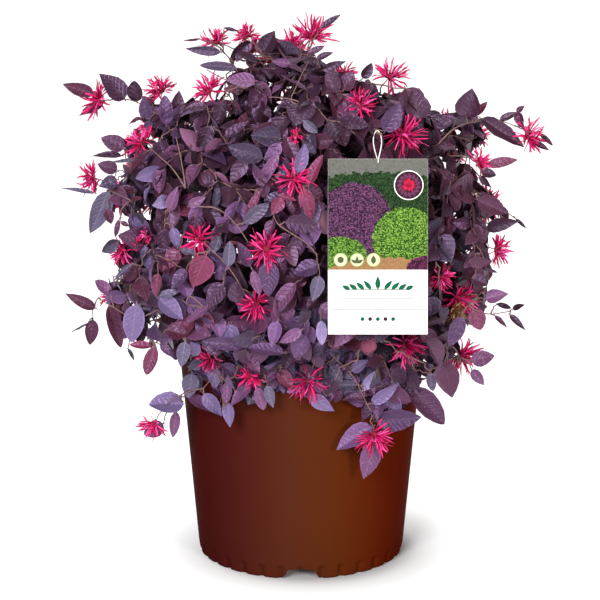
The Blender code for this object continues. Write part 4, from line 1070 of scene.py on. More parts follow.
def covers(leaf, spots):
    """Which round spots a leaf covers or touches in the frame, from its places there and their own."""
    side, other, tip, root = leaf[[0, 1, -2, -1]]
    along, wide = tip - root, (other - side) / 2
    length = max(math.hypot(*along), 1.0)
    half = abs(along[0] * wide[1] - along[1] * wide[0]) / length
    away, radius = spots[:, :2] - root, spots[:, 2]
    share = away @ along / length ** 2
    beside = abs(away[:, 0] * along[1] - away[:, 1] * along[0]) / length
    room = half * np.sqrt(np.clip(1 - (2 * share - 1) ** 2, 0.0, 1.0)) + radius
    return (abs(share - 0.5) < 0.5 + radius / length) & (beside < room)


class Room:
    """Where twigs and leaves may be: in the crown's reach, off the pot and tag, hiding nothing shown."""

    def __init__(self):
        self.to_tag = np.array(TAG_FRAME.inverted())
        self.gaps = np.array(SKY_GAPS, float)
        self.shown = []
        for x, y, z, width in FRONT_BLOOMS:
            self.keep_in_view(Vector((x, y, z)), SHOWN_SHARE * width)

    def keep_in_view(self, point, radius):
        """Keeps later leaves from hiding what lies about a point."""
        across, down, distance = seen(tuple(point))
        self.shown.append((across, down, radius * FOCAL_PIXELS / distance, distance))

    def within(self, points):
        x, y, z = points.T
        kept = (x > FURTHEST_LEFT) & (x < FURTHEST_RIGHT) & (abs(y) < FURTHEST_DEPTH)
        kept &= (z > LOWEST_LEAF) & (z < FURTHEST_UP)
        pot_radius = wall_radius(np.clip(z, 0.0, POT_HEIGHT)) + RIM_OVERHANG
        in_pot = (np.hypot(x, y) < pot_radius + OFF_POT) & (z < POT_HEIGHT + OFF_RIM)
        local = points @ self.to_tag[:3, :3].T + self.to_tag[:3, 3]
        beside = abs(local[:, 0]) > TAG_WIDTH / 2 + TAG_MARGIN
        beside |= abs(local[:, 2]) > TAG_HEIGHT / 2 + TAG_MARGIN
        return bool((kept & ~in_pot & (beside | (local[:, 1] > TAG_THICKNESS + OFF_TAG))).all())

    def is_open(self, points):
        """Whether a leaf leaves the sky open and in view what is shown. Its tip and root come last."""
        across, down, distance = seen(points)
        if not inside_edge(across[:-1], down[:-1]).all():
            return False
        places = np.column_stack((across, down))
        shown = self.shown[self.shown[:, 3] > distance[2] - SAME_DEPTH]
        return not (covers(places, self.gaps).any() or covers(places, shown).any())

    def fits(self, root, along, normal, length, width):
        """Whether a leaf keeps to the room that there is, leaves the sky open and hides nothing shown."""
        across = normal.cross(along) * width / 2
        middle = root + along * length * LEAF_WIDEST
        points = [middle - across, middle + across, middle]
        points += [root + along * length * LEAF_NEAR_TIP, root + along * length, root]
        points = np.array([tuple(point) for point in points])
        return self.within(points[:-1]) and self.is_open(points)


ROOM = Room()


class Mass:
    """One mass of the crown: its cell's centre, its limbs and the nodes that twigs leave from."""

    def __init__(self, ring, azimuth, elevation):
        self.ring = ring
        self.outward = from_angles(azimuth, elevation)
        self.centre = HEART + self.outward * reach(self.outward) * CELL_CENTRE
        self.walls = []
        self.places, self.ways = [], []

    def depth(self, point):
        return min((middle - point).dot(across) for middle, across in self.walls)

    def bough(self, count):
        """The path of the bough that carries it."""
        start = trunk_point(BOUGH_START[self.ring])
        share = BOUGH_SHORTEST
        while self.depth(start.lerp(self.centre, share)) < ENTRY_DEPTH:
            share += BOUGH_STEP
        return arch(start, start.lerp(self.centre, share), BOUGH_ARCH, count)

    def add_nodes(self, path):
        distance = NODE_SPACING / 2
        while place := place_from_tip(path, distance):
            self.places.append(tuple(place[0]))
            self.ways.append(tuple(place[1]))
            distance += NODE_SPACING

    def best_node(self, target, shortest):
        """The node that a twig to a target leaves from: near, and pointing there."""
        away = np.array(target) - np.array(self.places)
        length = np.linalg.norm(away, axis=1)
        toward = (away * np.array(self.ways)).sum(1) / np.maximum(length, GAP)
        cost = length * (1 + TURN_COST * (1 - toward))
        cost[length < shortest] = np.inf
        return Vector(self.places[int(cost.argmin())])


def make_masses():
    masses = []
    for ring, (count, elevation, first) in RINGS.items():
        masses += [Mass(ring, first + index * 360 / count, elevation) for index in range(count)]
    for mass in masses:
        for other in masses:
            if other is not mass:
                across = (other.centre - mass.centre).normalized()
                mass.walls.append(((mass.centre + other.centre) / 2, across))
    return masses


def bark_limb(path, radii, sides, relief, seed):
    """A limb whose skin is broken by bark: long ridges along it and knots across."""
    vertices, faces = tube(path, radii, sides)
    out = []
    for index, vertex in enumerate(vertices):
        outward = (vertex - path[index // sides]).normalized()
        flow = Vector((vertex.x * BARK_ACROSS, vertex.y * BARK_ACROSS, vertex.z * BARK_ALONG + seed))
        rough = noise.noise(flow) + KNOT_SHARE * noise.noise(flow * BARK_KNOTS)
        out.append(vertex + outward * relief * rough)
    return out, faces


def add_wood(masses):
    """Trunk and boughs in one skin of bark."""
    wood = Gatherer()
    rings, sides, relief = TRUNK_BARK
    shares = taper(0.0, 1.0, rings)
    path, radii = [trunk_point(share) for share in shares], [trunk_radius(share) for share in shares]
    wood.add(*bark_limb(path, radii, sides, relief, 0))
    rings, sides, relief = BOUGH_BARK
    for number, mass in enumerate(masses, 1):
        radii = taper(BOUGH_RADIUS[mass.ring], BOUGH_TIP_RADIUS, rings)
        wood.add(*bark_limb(mass.bough(rings), radii, sides, relief, number))
    bark = make_material(*BARK_SKIN)
    add_mottle(bark, BARK_COLOURS, *BARK_RELIEF)
    place_piece(wood.build("bark_wood", [bark]), "bark", *nodes_named("trunk", "bough_"))


class Crown:
    """The twigs, leaves and blossom that are grown, kept until each kind is joined."""

    def __init__(self, masses):
        self.masses = masses
        self.random = random.Random(SEED)
        self.wood = Gatherer()
        self.twigs = []
        self.leaves = {name: [] for name in LEAF_COLOURS}

    def nearest_mass(self, point):
        return min(self.masses, key=lambda mass: (mass.centre - point).length)

    def start_stem(self, mass):
        path = mass.bough(5)
        along = (path[-1] - path[-2]).normalized()
        start = path[-1] + along * GAP
        end = HEART + mass.outward * reach(mass.outward) * LEADER_END
        stem = bend(start, start + along * (end - start).length * STEM_LEAD, end, STEM_POINTS)
        stem.insert(1, start + along * BOUGH_TIP_RADIUS)
        self.wood.add(*tube(stem, taper(*STEM_RADII, len(stem)), STEM_SIDES))
        mass.add_nodes(stem)
        self.twigs.append((stem, 0.0))

    def grow_twig(self, target, bare=0.0, shortest=TWIG_SHORTEST, radii=TWIG_RADII):
        """A twig to a target from the best node near it, with the slight wander of real wood."""
        mass = self.nearest_mass(target)
        start = mass.best_node(target, shortest)
        path = arch(start, target, ARCH_UP if target.z > start.z else ARCH_DOWN, TWIG_POINTS)
        wobble = min(TWIG_WOBBLE, (target - start).length / TWIG_POINTS / 3)
        for index in range(2, TWIG_POINTS - 1):
            path[index] += stray(self.random, wobble)
        if not ROOM.within(np.array([tuple(point) for point in path[2:]])):
            return None
        self.wood.add(*tube(path, taper(*radii, TWIG_POINTS), TWIG_SIDES), slot=1)
        mass.add_nodes(path)
        self.twigs.append((path, bare))
        return path

    def show_twig(self, points):
        """A bare twig that shows, on through points from the best node near the first."""
        start = self.nearest_mass(points[0]).best_node(points[0], SHOWN_TWIG_SHORTEST)
        route = [start, start, *points, points[-1]]
        shares = taper(0.0, 1.0, SHOWN_TWIG_STEPS + 1)[:-1]
        path = [smooth_between(*four, share)
                for four in zip(route, route[1:], route[2:], route[3:]) for share in shares]
        path.append(points[-1])
        self.wood.add(*tube(path, taper(*SHOWN_TWIG_RADII, len(path)), SHOWN_TWIG_SIDES), slot=2)
        for mass in self.masses:
            mass.add_nodes(path)
        for point in path[SHOWN_TWIG_STEPS:]:
            ROOM.keep_in_view(point, SHOWN_TWIG_ROOM * SHOWN_TWIG_RADII[0])

    def colour_for(self, place):
        """The colour of a leaf, by where on the crown it is and how deep inside: near black deep inside as
        painted shade, and darker to the right and up partly as painted shade.
        """
        away = place - HEART
        depth = reach(away.normalized()) - away.length
        if depth > DEEP_INSIDE and self.random.random() < DEEP_PAINTED_SHADE_SHARE:
            return "near_black"
        darkness = DARKNESS + DARKER_RIGHT * place.x + DARKER_UP * (place.z - DARK_LEVEL)
        darkness -= PALER_DOWN * max(PALE_LEVEL - place.z, 0.0)
        side = DARK_SIDE if self.random.random() < min(max(darkness, 0.0), 1.0) else PALE_SIDE
        return pick(self.random, side)

    def add_leaf(self, colour, root, along, normal, *shape):
        draw = self.random
        edge = draw.uniform(0, math.tau), draw.uniform(*LEAF_WAVE), draw.uniform(*LEAF_TIP_ROUND)
        self.leaves[colour].append((*root, *along, *normal, *shape, *edge))

    def show_leaf(self, base, tip, width, colour):
        """A leaf that faces the front, on a twig of its own."""
        draw = self.random
        if not self.grow_twig(base, bare=SHOWN_BARE, shortest=SHOWN_TWIG_SHORTEST):
            return
        length = (tip - base).length
        along = (tip - base).normalized()
        facing = (CAMERA_PLACE - base).normalized() + UP * draw.uniform(*SHOWN_UPTURN)
        facing += stray(draw, SHOWN_SCATTER)
        curves = draw.uniform(*SHOWN_FOLD), draw.uniform(*SHOWN_DROOP), draw.gauss(0, SHOWN_TWIST)
        self.add_leaf(colour, base, along, square_to(along, facing), length, width, *curves)
        for share in SHOWN_PLACES:
            ROOM.keep_in_view(base.lerp(tip, share), SHOWN_SHARE * width)

    def leaf_direction(self, root, along, side, terminal):
        draw = self.random
        facing = (UP * draw.uniform(*LEAF_UPTURN) + outward_at(root)).normalized()
        facing += stray(draw, LEAF_SCATTER)
        angle = TIP_LEAF_ANGLE if terminal else LEAF_ANGLE + draw.uniform(-LEAF_STRAY, LEAF_STRAY)
        angle = math.radians(angle)
        sideways = along.cross(facing).normalized() * side
        direction = along * math.cos(angle) + sideways * math.sin(angle)
        direction -= UP * draw.uniform(0.0, LEAF_SAG)
        return direction.normalized(), facing

    def grow_leaves(self, path, bare):
        draw = self.random
        side = draw.choice((-1, 1))
        tip = path[-1]
        colour = self.colour_for(tip)
        large = 1.0 + LARGER_RIGHT * min(max(LARGER_RISE * (tip.x + LARGER_FROM), 0.0), 1.0)
        distance = bare
        while distance < LEAFY_LENGTH and (place := place_from_tip(path, distance)):
            root, along = place
            near_tip = max(0.0, 1 - distance / SMALLER_WITHIN)
            for _ in range(LEAF_TRIES):
                direction, facing = self.leaf_direction(root, along, side, distance == 0.0)
                length = draw.uniform(*LEAF_LENGTH) * large * (1 - (1 - TIP_LEAF_SIZE) * near_tip)
                width = length * draw.uniform(*LEAF_WIDTH)
                leaf = root, direction, square_to(direction, facing), length, width
                if ROOM.fits(*leaf):
                    own = colour if draw.random() < SPRAY_COLOUR_SHARE else self.colour_for(root)
                    self.add_leaf(own, *leaf, *leaf_curves(draw))
                    break
            distance += LEAF_SPACING * draw.uniform(*SPACING_STRAY)
            side = -side


def outward_at(point):
    return (point - HEART).normalized()


def pick(draw, shares):
    return draw.choices(list(shares), list(shares.values()))[0]


def leaf_curves(draw):
    """How far a leaf folds, droops and twists."""
    return draw.uniform(*LEAF_FOLD), draw.gauss(*LEAF_DROOP), draw.gauss(0, LEAF_TWIST)


def leaf_outline(shares, tip_round):
    """A leaf's half width along it: 0 at its base and point, 1 where it is widest."""
    inside = np.clip(shares, 0.0, 1.0)
    widest = LEAF_BASE_ROUND / (LEAF_BASE_ROUND + tip_round)
    shape = inside ** LEAF_BASE_ROUND * (1 - inside) ** tip_round
    return shape / (widest ** LEAF_BASE_ROUND * (1 - widest) ** tip_round)


def leaf_faces():
    """Faces and slots of one leaf: upper side with vein and margins, lower side, and both ends."""
    per_row, last = len(LEAF_COLUMNS), UPPER_COLUMNS - 1
    below = [0] + list(range(UPPER_COLUMNS, per_row)) + [last]
    faces, slots = [], []
    for row in range(len(LEAF_ROWS) - 1):
        low, high = row * per_row, (row + 1) * per_row
        petiole = LEAF_ROWS[row + 1] <= 0.0
        for column in range(last):
            faces.append((low + column, high + column, high + column + 1, low + column + 1))
            slots.append(2 if petiole else UPPER_SLOTS[column])
        for near, far in zip(below, below[1:]):
            faces.append((low + near, low + far, high + far, high + near))
            slots.append(2 if petiole else 1)
    ring = list(range(UPPER_COLUMNS)) + below[-2:0:-1]
    tip = (len(LEAF_ROWS) - 1) * per_row
    return faces, slots, ring, [tip + index for index in ring[::-1]]


def add_leaves(name, leaves, materials):
    """Joins leaves of one colour into one mesh; each leaf is closed."""
    data = np.array(leaves)
    root, along, normal = data[:, 0:3], data[:, 3:6], data[:, 6:9]
    length, width, fold, droop, twist, phase, wave, tip_round = data[:, 9:17].T[:, :, None]
    rows, sides = np.array(LEAF_ROWS), np.array(LEAF_COLUMNS)
    share = np.clip(rows, 0.0, 1.0)[None, :]
    outline = leaf_outline(rows[None, :], tip_round)
    half = np.maximum(outline * width / 2, PETIOLE_HALF_WIDTH)
    y = half[:, :, None] * sides
    vein = np.minimum(half, VEIN_HALF_WIDTH)
    y[:, :, 2], y[:, :, 3] = -vein, vein
    edge = abs(sides)
    ripple = np.sin(phase + LEAF_WAVES * math.tau * rows) * wave * length * outline
    pucker = np.where(np.arange(len(rows)) % 2 == 0, PUCKER, -PUCKER) * outline
    z = fold[..., None] * abs(y) * (FOLD_AT_VEIN + (1 - FOLD_AT_VEIN) * edge)
    z = z - (droop * length * share ** 2)[..., None] + ripple[..., None] * edge ** 2
    z = z + pucker[..., None] * np.where((edge > 0.0) & (edge < 1.0), 1.0, 0.0)
    z[:, :, UPPER_COLUMNS:] -= LEAF_THICKNESS
    turn = (twist * share)[..., None]
    y, z = y * np.cos(turn) - z * np.sin(turn), y * np.sin(turn) + z * np.cos(turn)
    x = np.broadcast_to((rows * length)[..., None], y.shape)
    across = np.cross(normal, along)
    points = root[:, None, None, :] + x[..., None] * along[:, None, None, :]
    points = points + y[..., None] * across[:, None, None, :] + z[..., None] * normal[:, None, None, :]
    quads, slots, base, tip = leaf_faces()
    starts = np.arange(len(data)) * len(rows) * len(sides)
    faces = (np.array(quads)[None] + starts[:, None, None]).reshape(-1, 4).tolist()
    faces += [[start + index for index in ring] for start in starts for ring in (base, tip)]
    all_slots = np.concatenate([np.tile(slots, len(data)), np.full(2 * len(data), 2)])
    obj = mesh_object(name, points.reshape(-1, 3), faces, materials, all_slots)
    veins = (x - SIDE_VEIN_RISE * half[:, :, None] * edge) / SIDE_VEIN_SPACING
    obj.data.attributes.new(SIDE_VEINS, "FLOAT", "POINT").data.foreach_set("value", veins.ravel())
    obj.data.set_sharp_from_angle(angle=math.radians(LEAF_SHARP))
    return obj


def petal(points, width, facing, draw):
    """A strap petal: a thin band, a little twisted, narrow at its foot and blunt at its end."""
    vertices = []
    count = len(points)
    foot, tip = PETAL_SWELL
    curl = draw.gauss(0, PETAL_CURL)
    for index, point in enumerate(points):
        before, after = points[max(index - 1, 0)], points[min(index + 1, count - 1)]
        along = (after - before).normalized()
        turned = Matrix.Rotation(curl * index / count, 3, along) @ facing
        across = along.cross(turned).normalized()
        normal = across.cross(along)
        share = index / (count - 1)
        half = width / 2 * min(1.0, PETAL_END + foot * share, PETAL_END + tip * (1 - share))
        vertices += [point + across * half, point + normal * PETAL_HALF_THICKNESS]
        vertices += [point - across * half, point - normal * PETAL_HALF_THICKNESS]
    return vertices, ring_faces(count, 4)


def calyx(place, axis):
    path = [place + axis * CALYX_SIZE * share for share in CALYX_REACH]
    return tube(path, [CALYX_SIZE * share for share in CALYX_RADII], CALYX_SIDES)


def add_flower(gather, draw, base, axis, reach_out, slots, limp):
    """A calyx with four strap petals."""
    gather.add(*calyx(base, axis), slots[-1])
    guide = axis.orthogonal().normalized()
    start = draw.uniform(0, math.tau)
    for quarter in range(4):
        turn = start + math.tau * quarter / 4 + draw.gauss(0, PETAL_STRAY)
        lateral = guide * math.cos(turn) + axis.cross(guide) * math.sin(turn)
        length = reach_out * draw.uniform(*PETAL_LENGTH)
        toward = (axis * draw.uniform(*PETAL_FORWARD) + lateral * draw.uniform(*PETAL_ASIDE)).normalized()
        end = base + toward * length - UP * length * draw.uniform(0, limp)
        control = base + axis * length * PETAL_LEAD + lateral * length * draw.uniform(*PETAL_BOW)
        path = bend(base, control, end, PETAL_POINTS)
        for index in range(2, PETAL_POINTS):
            path[index] += stray(draw, PETAL_WAVE)
        facing = (axis + stray(draw, PETAL_TURN)).normalized()
        gather.add(*petal(path, draw.uniform(*PETAL_WIDTH), facing, draw), draw.choice(slots[:-1]))


def add_cluster(gather, draw, place, outward, width, slots, limp=LIMP):
    """One cluster: flowers whose axes spread evenly round the way that it faces."""
    flowers = round(FEWEST_FLOWERS + width * FLOWERS_A_METRE)
    guide = outward.orthogonal().normalized()
    other = outward.cross(guide)
    spin = draw.uniform(0, math.tau)
    for index in range(flowers):
        tilt = math.acos(1 - CLUSTER_SPREAD * (index + 0.5) / flowers)
        turn = spin + GOLDEN_TURN * index
        axis = outward * math.cos(tilt) + (guide * math.cos(turn) + other * math.sin(turn)) * math.sin(tilt)
        axis = (axis + stray(draw, CLUSTER_STRAY)).normalized()
        add_flower(gather, draw, place + axis * FLOWER_SEAT, axis, width / 2, slots, limp)


def add_blossom(blooms):
    draw = random.Random(SEED + 1)
    gather = Gatherer()
    for place, outward, width in blooms:
        add_cluster(gather, draw, place, outward, width, PETAL_SLOTS)
    place = Vector(SPENT_TUFT[:3])
    add_cluster(gather, draw, place, outward_at(place), SPENT_TUFT[3], SPENT_SLOTS, SPENT_LIMP)
    place_piece(gather.build("blossom", make_skins(BLOSSOM_SKINS, *BLOSSOM_RELIEF)), "foliage")


def add_leaf_relief(material, strength):
    """A leaf's relief: side veins pressed into its blade, and the fine crinkle of its skin."""
    tree = material.node_tree
    crinkle = add_node(tree, "ShaderNodeTexNoise", object_place(tree), None, CRINKLE_SCALE)[0]
    row = add_node(tree, "ShaderNodeAttribute", attribute_name=SIDE_VEINS)[2]
    wandered = add_math(tree, "MULTIPLY_ADD", crinkle, SIDE_VEIN_WANDER, row)
    raised = add_math(tree, "MINIMUM", add_math(tree, "PINGPONG", wandered, 0.5), SIDE_VEIN_HALF_WIDTH)
    add_bump(tree, add_math(tree, "ADD", raised, crinkle), strength, CRINKLE_DEPTH)


def leaf_materials(kind, name, tone):
    """The skins of one tone of a leaf colour: upper side, lower side, vein and margins."""
    upper, lower, vein = ([part * tone for part in colour] for colour in LEAF_COLOURS[name])
    margin = [part * MARGIN_TONE for part in upper]
    materials = [
        make_material(f"leaf_{kind}", upper, *LEAF_GLOSS),
        make_material(f"under_{kind}", lower, 0.65, 0.25),
        make_material(f"vein_{kind}", vein, 0.5, 0.3),
        make_material(f"margin_{kind}", margin, *LEAF_GLOSS),
    ]
    for material in materials:
        add_leaf_relief(material, CRINKLE_STRENGTH.get(name, CRINKLE_USUAL))
    return materials


def add_foliage(name, leaves):
    """Deals the leaves of one colour out to its tones, each a piece of its own."""
    draw = random.Random(SEED + 3)
    tones = LEAF_TONES[min(len(leaves) // LEAVES_A_TONE, len(LEAF_TONES) - 1)]
    groups = [[] for _ in tones]
    for leaf in leaves:
        groups[draw.randrange(len(tones))].append(leaf)
    for number, (tone, group) in enumerate(zip(tones, groups), 1):
        kind = f"{name}_{number}" if len(tones) > 1 else name
        place_piece(add_leaves(f"leaves_{kind}", group, leaf_materials(kind, name, tone)), "foliage")


def shell_targets(taken, count, depth, spacing):
    """Points spread evenly at a depth under the crown's outline, off the pot and those taken."""
    targets = []
    draw = random.Random(SEED)
    for index in range(count):
        height = 1 - 2 * (index + 0.5) / count
        flat = math.sqrt(1 - height ** 2)
        turn = GOLDEN_TURN * index
        direction = Vector((flat * math.cos(turn), flat * math.sin(turn), height))
        point = HEART + direction * (reach(direction) - depth * draw.uniform(*DEPTH_SPREAD))
        low = point.z < POT_HEIGHT + POT_CLEARANCE
        if low and math.hypot(point.x, point.y) < WALL_TOP_RADIUS + POT_CLEARANCE:
            continue
        if all((point - other).length > spacing for other in taken):
            targets.append(point)
    return targets


def behind_tag(point):
    """A point, moved behind the tag where it lies over or in front of it."""
    local = TAG_FRAME.inverted() @ point
    if abs(local.x) < TAG_WIDTH / 2 and abs(local.z) < TAG_HEIGHT / 2:
        local.y = max(local.y, TAG_BACK_ROOM)
    return TAG_FRAME @ local


def grow_shells(crown, taken):
    """Twigs to targets spread evenly under the crown's outline. Returns flowers for its back."""
    draw = random.Random(SEED + 2)
    blooms = []
    for shell, sizes in enumerate(SHELLS):
        for index, target in enumerate(shell_targets(taken, *sizes)):
            target = behind_tag(target)
            across, down, _ = seen([tuple(target)])
            if not inside_edge(across, down).all():
                continue
            taken.append(target)
            behind = shell == 0 and target.y > BACK_FROM and index % BACK_BLOOM_EVERY == 0
            path = crown.grow_twig(target, bare=BLOOM_BARE if behind else 0.0)
            if path and behind:
                blooms.append((target, outward_at(target), draw.uniform(*BACK_BLOOM_WIDTH)))
    return blooms


def hang_over_pot(crown):
    """Leaves that hang over the pot's rim, down to the crown's edge on the front, behind those shown."""
    draw = random.Random(SEED + 4)
    for _ in range(OVER_POT_TRIES):
        place = draw.uniform(*OVER_POT_ACROSS), draw.uniform(*OVER_POT_DOWN)
        root = over_pot(*place) + CAMERA_WAY * draw.uniform(*OVER_POT_BEHIND)
        turn = draw.gauss(0.0, HANG_TURN)
        along = RIGHT * math.sin(turn) - UP * math.cos(turn) - CAMERA_WAY * draw.uniform(*HANG_FORWARD)
        along.normalize()
        facing = UP * draw.uniform(*HANG_UPTURN) - CAMERA_WAY + stray(draw, HANG_SCATTER)
        length = draw.uniform(*LEAF_LENGTH) * TIP_LEAF_SIZE
        leaf = root, along, square_to(along, facing), length, length * draw.uniform(*LEAF_WIDTH)
        if ROOM.fits(*leaf) and crown.grow_twig(root, bare=LEAFY_LENGTH, shortest=SHOWN_TWIG_SHORTEST):
            crown.add_leaf(pick(draw, OVER_POT_SIDE), *leaf, *leaf_curves(draw))


def show_front(crown):
    """The bare twigs, flowers and single leaves that the front shows. Returns its flowers."""
    for twigs, find in ((TWIGS_OVER_CROWN, on_front), (TWIGS_OVER_POT, over_pot)):
        for twig in twigs:
            crown.show_twig([find(*place) for place in twig])
    blooms = []
    for *place, width in FRONT_BLOOMS:
        target = Vector(place)
        outward = outward_at(target)
        blooms.append((target - outward * width * BLOOM_SEAT, outward, width))
    for *place, width in FRONT_BUDS:
        target = on_front(*place)
        blooms.append((target, outward_at(target), width))
    for seat, _, _ in blooms:
        crown.grow_twig(seat, bare=BLOOM_BARE, shortest=SHOWN_TWIG_SHORTEST)
    for leaves, find in ((SHOWN_LEAVES, on_front), (LEAVES_OVER_POT, over_pot)):
        for leaf in leaves:
            base = find(*leaf[:2])
            tip = on_plane(*leaf[2:4], base.y - SHOWN_TIP_NEARER)
            width = leaf[4] * (base - CAMERA_PLACE).length / FOCAL_PIXELS
            crown.show_leaf(base, tip, width, leaf[5])
    return blooms


def add_crown(masses):
    """All that grows on the boughs. Returns the twig that carries the tag."""
    crown = Crown(masses)
    for mass in masses:
        crown.start_stem(mass)
    carrier = crown.grow_twig(TAG_TWIG_TIP, bare=TAG_TWIG_BARE, radii=CARRIER_RADII)
    hole = TAG_FRAME @ (UP * TAG_HEIGHT / 2)
    for share in taper(0.0, 1.0, 4):
        ROOM.keep_in_view(hole.lerp(TAG_TWIG_TIP, share), LOOP_HALF_WIDTH + LOOP_RADIUS)
    for place in FRONT_SPRIGS:
        crown.grow_twig(Vector(place))
    taken = [Vector(place[:3]) for place in (*FRONT_BLOOMS, *FRONT_SPRIGS)]
    blooms = grow_shells(crown, taken) + show_front(crown)
    ROOM.shown = np.array(ROOM.shown)
    hang_over_pot(crown)
    for path, bare in crown.twigs:
        crown.grow_leaves(path, bare)
    skins = make_skins(TWIG_SKINS, *TWIG_RELIEF)
    place_piece(crown.wood.build("twigs", skins), "foliage", *nodes_named("foliage_"))
    for name, leaves in crown.leaves.items():
        add_foliage(name, leaves)
    add_blossom(blooms)
    return carrier


def add_loop(carrier):
    held, _ = place_from_tip(carrier, TAG_TWIG_HOLD)
    outward = TAG_FRAME.to_3x3() @ Vector((0.0, -1.0, 0.0))
    hole_top = TAG_HEIGHT / 2 - TAG_HOLE_DROP + TAG_HOLE_RADIUS
    bottom = TAG_FRAME @ (UP * (hole_top - LOOP_RADIUS - GAP))
    top = held + (held - bottom).normalized() * (CARRIER_RADII[1] + LOOP_RADIUS + 2 * GAP)
    path = []
    for index in range(LOOP_POINTS):
        angle = math.tau * index / LOOP_POINTS
        rise = (1 + math.cos(angle)) / 2
        quarter = math.pi / 2 * (1 - rise)
        sideways = RIGHT * math.cos(quarter) + outward * math.sin(quarter)
        path.append(bottom.lerp(top, rise) + sideways * LOOP_HALF_WIDTH * math.sin(angle))
    loop = tube(path, [LOOP_RADIUS] * LOOP_POINTS, LOOP_SIDES, closed=True)
    elastic = make_skins([ELASTIC_SKIN], *ELASTIC_RELIEF)
    place_piece(mesh_object("elastic_loop", *loop, elastic), "tag_loop", "tag_loop")


def flat_shape(outline, level):
    """A thin printed shape on the tag's face, from an outline in millimetres across and up."""
    vertices = []
    for depth in (level, level + PRINT_THICKNESS):
        y = -TAG_THICKNESS / 2 - depth
        vertices += [TAG_FRAME @ Vector((u / 1000, y, v / 1000)) for u, v in outline]
    return vertices, ring_faces(2, len(outline))


def rectangle(left, bottom, right, top):
    return [(left, bottom), (right, bottom), (right, top), (left, top)]


def disc(u, v, radius, count=28):
    return arc(u, v, radius, 0, 360, count + 1)[:-1]


def leaf_shape(u, v, length, width, angle):
    points = []
    for sign, shares in ((-1, taper(0, 1, 9)), (1, taper(1, 0, 9)[1:-1])):
        points += [(share * length, sign * width / 2 * math.sin(math.pi * share ** 0.8)) for share in shares]
    turn = math.radians(angle)
    return [(u + x * math.cos(turn) - y * math.sin(turn), v + x * math.sin(turn) + y * math.cos(turn))
            for x, y in points]


def mix_colours(tree, share, *colours):
    """A mix of two colours, each a screen colour or a socket."""
    sockets = [colour if isinstance(colour, bpy.types.NodeSocket) else srgb(*colour) for colour in colours]
    return add_node(tree, "ShaderNodeMix", share, *MIX_SPARE_INPUTS, *sockets, data_type="RGBA")[2]


def picture_print():
    """A generic garden bed: round mounds of small leaves before a hedge, and a path."""
    material = make_material("printed_picture", (120, 140, 110), 0.5, 0.08)
    tree = material.node_tree
    place = object_place(tree)
    across, _, height = add_node(tree, "ShaderNodeSeparateXYZ", place)
    wander = add_node(tree, "ShaderNodeTexNoise", place, None, PICTURE_WANDER_SCALE)[0]
    edge = add_math(tree, "MULTIPLY", add_math(tree, "SUBTRACT", wander, 0.5), PICTURE_WANDER)
    leaf = add_node(tree, "ShaderNodeTexVoronoi", place, None, PICTURE_LEAF_SCALE)
    hollow = add_math(tree, "MULTIPLY", leaf[0], PICTURE_HOLLOW)
    lot = add_node(tree, "ShaderNodeSeparateColor", leaf[1])[0]
    shade = add_math(tree, "SUBTRACT", add_math(tree, "MULTIPLY_ADD", lot, *PICTURE_SHADE), hollow)
    shade = add_node(tree, "ShaderNodeClamp", shade)[0]
    soft = add_node(tree, "ShaderNodeTexNoise", place, None, PICTURE_WANDER_SCALE * 2)[0]
    colour = mix_colours(tree, soft, *PICTURE_BACK)
    for (middle_u, middle_v), (half_u, half_v), leafy, dark, light in PICTURE_MOUNDS:
        u = add_math(tree, "DIVIDE", add_math(tree, "SUBTRACT", across, middle_u), half_u)
        v = add_math(tree, "DIVIDE", add_math(tree, "SUBTRACT", height, middle_v), half_v)
        square = add_math(tree, "MULTIPLY_ADD", u, u, add_math(tree, "MULTIPLY", v, v))
        away = add_math(tree, "ADD", add_math(tree, "SQRT", square), edge)
        inside = add_math(tree, "LESS_THAN", away, 1.0)
        colour = mix_colours(tree, inside, colour, mix_colours(tree, shade if leafy else soft, dark, light))
    link_to_shader(tree, colour, "Base Color")
    return material


def add_picture():
    face = -TAG_THICKNESS / 2 - PRINT_LEVEL
    corners = [(u, depth, v) for depth in (face, face - PRINT_THICKNESS) for u, v in rectangle(*PICTURE)]
    picture = mesh_object("tag_picture", corners, ring_faces(2, 4), [picture_print()], smooth=False)
    picture.matrix_world = TAG_FRAME
    place_piece(picture, "tag_card")


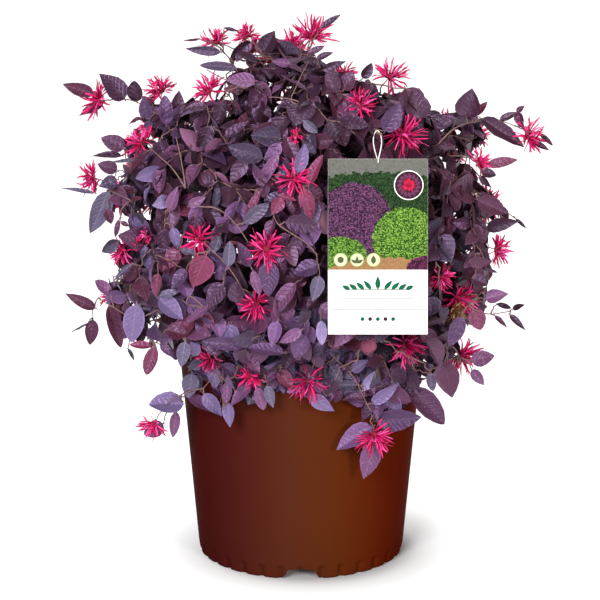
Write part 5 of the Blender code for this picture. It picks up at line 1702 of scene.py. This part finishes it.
def tag_shapes():
    """The plain shapes printed on the tag: outline in millimetres, ink and layer."""
    for u, heart, leaves in BADGES:
        yield disc(u, BADGE_HEIGHT, BADGE_RADIUS), "badge", 2
        yield disc(u, BADGE_HEIGHT, BADGE_RADIUS - BADGE_EDGE), "cream", 3
        if heart:
            yield disc(u, BADGE_HEIGHT, heart), "olive", 4
        for drop, *size in leaves:
            yield leaf_shape(u, BADGE_HEIGHT - drop, *size), "olive", 4
    u, v, radius = INSET
    yield disc(u, v, radius, 48), "white", 2
    yield disc(u, v, radius - INSET_EDGE, 48), "plum", 3
    draw = random.Random(SEED)
    for turn, foot in zip(range(0, 360, 24), disc(u, v, INSET_RING, 15)):
        yield leaf_shape(*foot, 5.5, 3.0, turn + 40), "violet", 4
    for turn in range(0, 360, 20):
        yield leaf_shape(u, v, draw.uniform(5.5, 8.0), 1.5, turn + draw.uniform(-6, 6)), "pink", 5
    for half, level in RULES:
        yield rectangle(-half, level, half, level + 0.5), "rule", 1
    for side in (-1, 1):
        for index, u in enumerate(SPRAY_LEAVES):
            size = 11.0 - index, 4.0, 90 - side * (40 + 8 * index)
            yield leaf_shape(side * u, SPRAY_HEIGHT, *size), "green", 1
    yield leaf_shape(0.0, SPRAY_HEIGHT, 12.5, 4.6, 90), "green", 1
    yield rectangle(-29.0, SPRAY_HEIGHT - 0.4, 29.0, SPRAY_HEIGHT + 0.2), "green", 1
    for index, u in enumerate(taper(-14.0, 14.0, 5)):
        yield disc(u, -66.0, 1.8), ("green", "plum")[index % 2], 1


def add_tag():
    card = make_material("card_white", (196, 197, 194), 0.5, 0.15)
    add_mottle(card, ((193, 194, 191), (199, 200, 197)), *CARD_RELIEF)
    dress_node("hang_tag", card)
    add_picture()
    inks = make_skins([(f"ink_{name}", colour, 0.5, 0.08) for name, colour in INKS.items()], *CARD_RELIEF)
    prints = Gatherer()
    for outline, ink, layer in tag_shapes():
        prints.add(*flat_shape(outline, PRINT_LEVEL + layer * PRINT_THICKNESS), list(INKS).index(ink))
    place_piece(prints.build("tag_print", inks, smooth=False), "tag_card")


def main():
    add_camera()
    add_studio()
    add_pot()
    add_mix()
    masses = make_masses()
    add_wood(masses)
    add_loop(add_crown(masses))
    add_tag()


main()
bpy.context.view_layer.update()
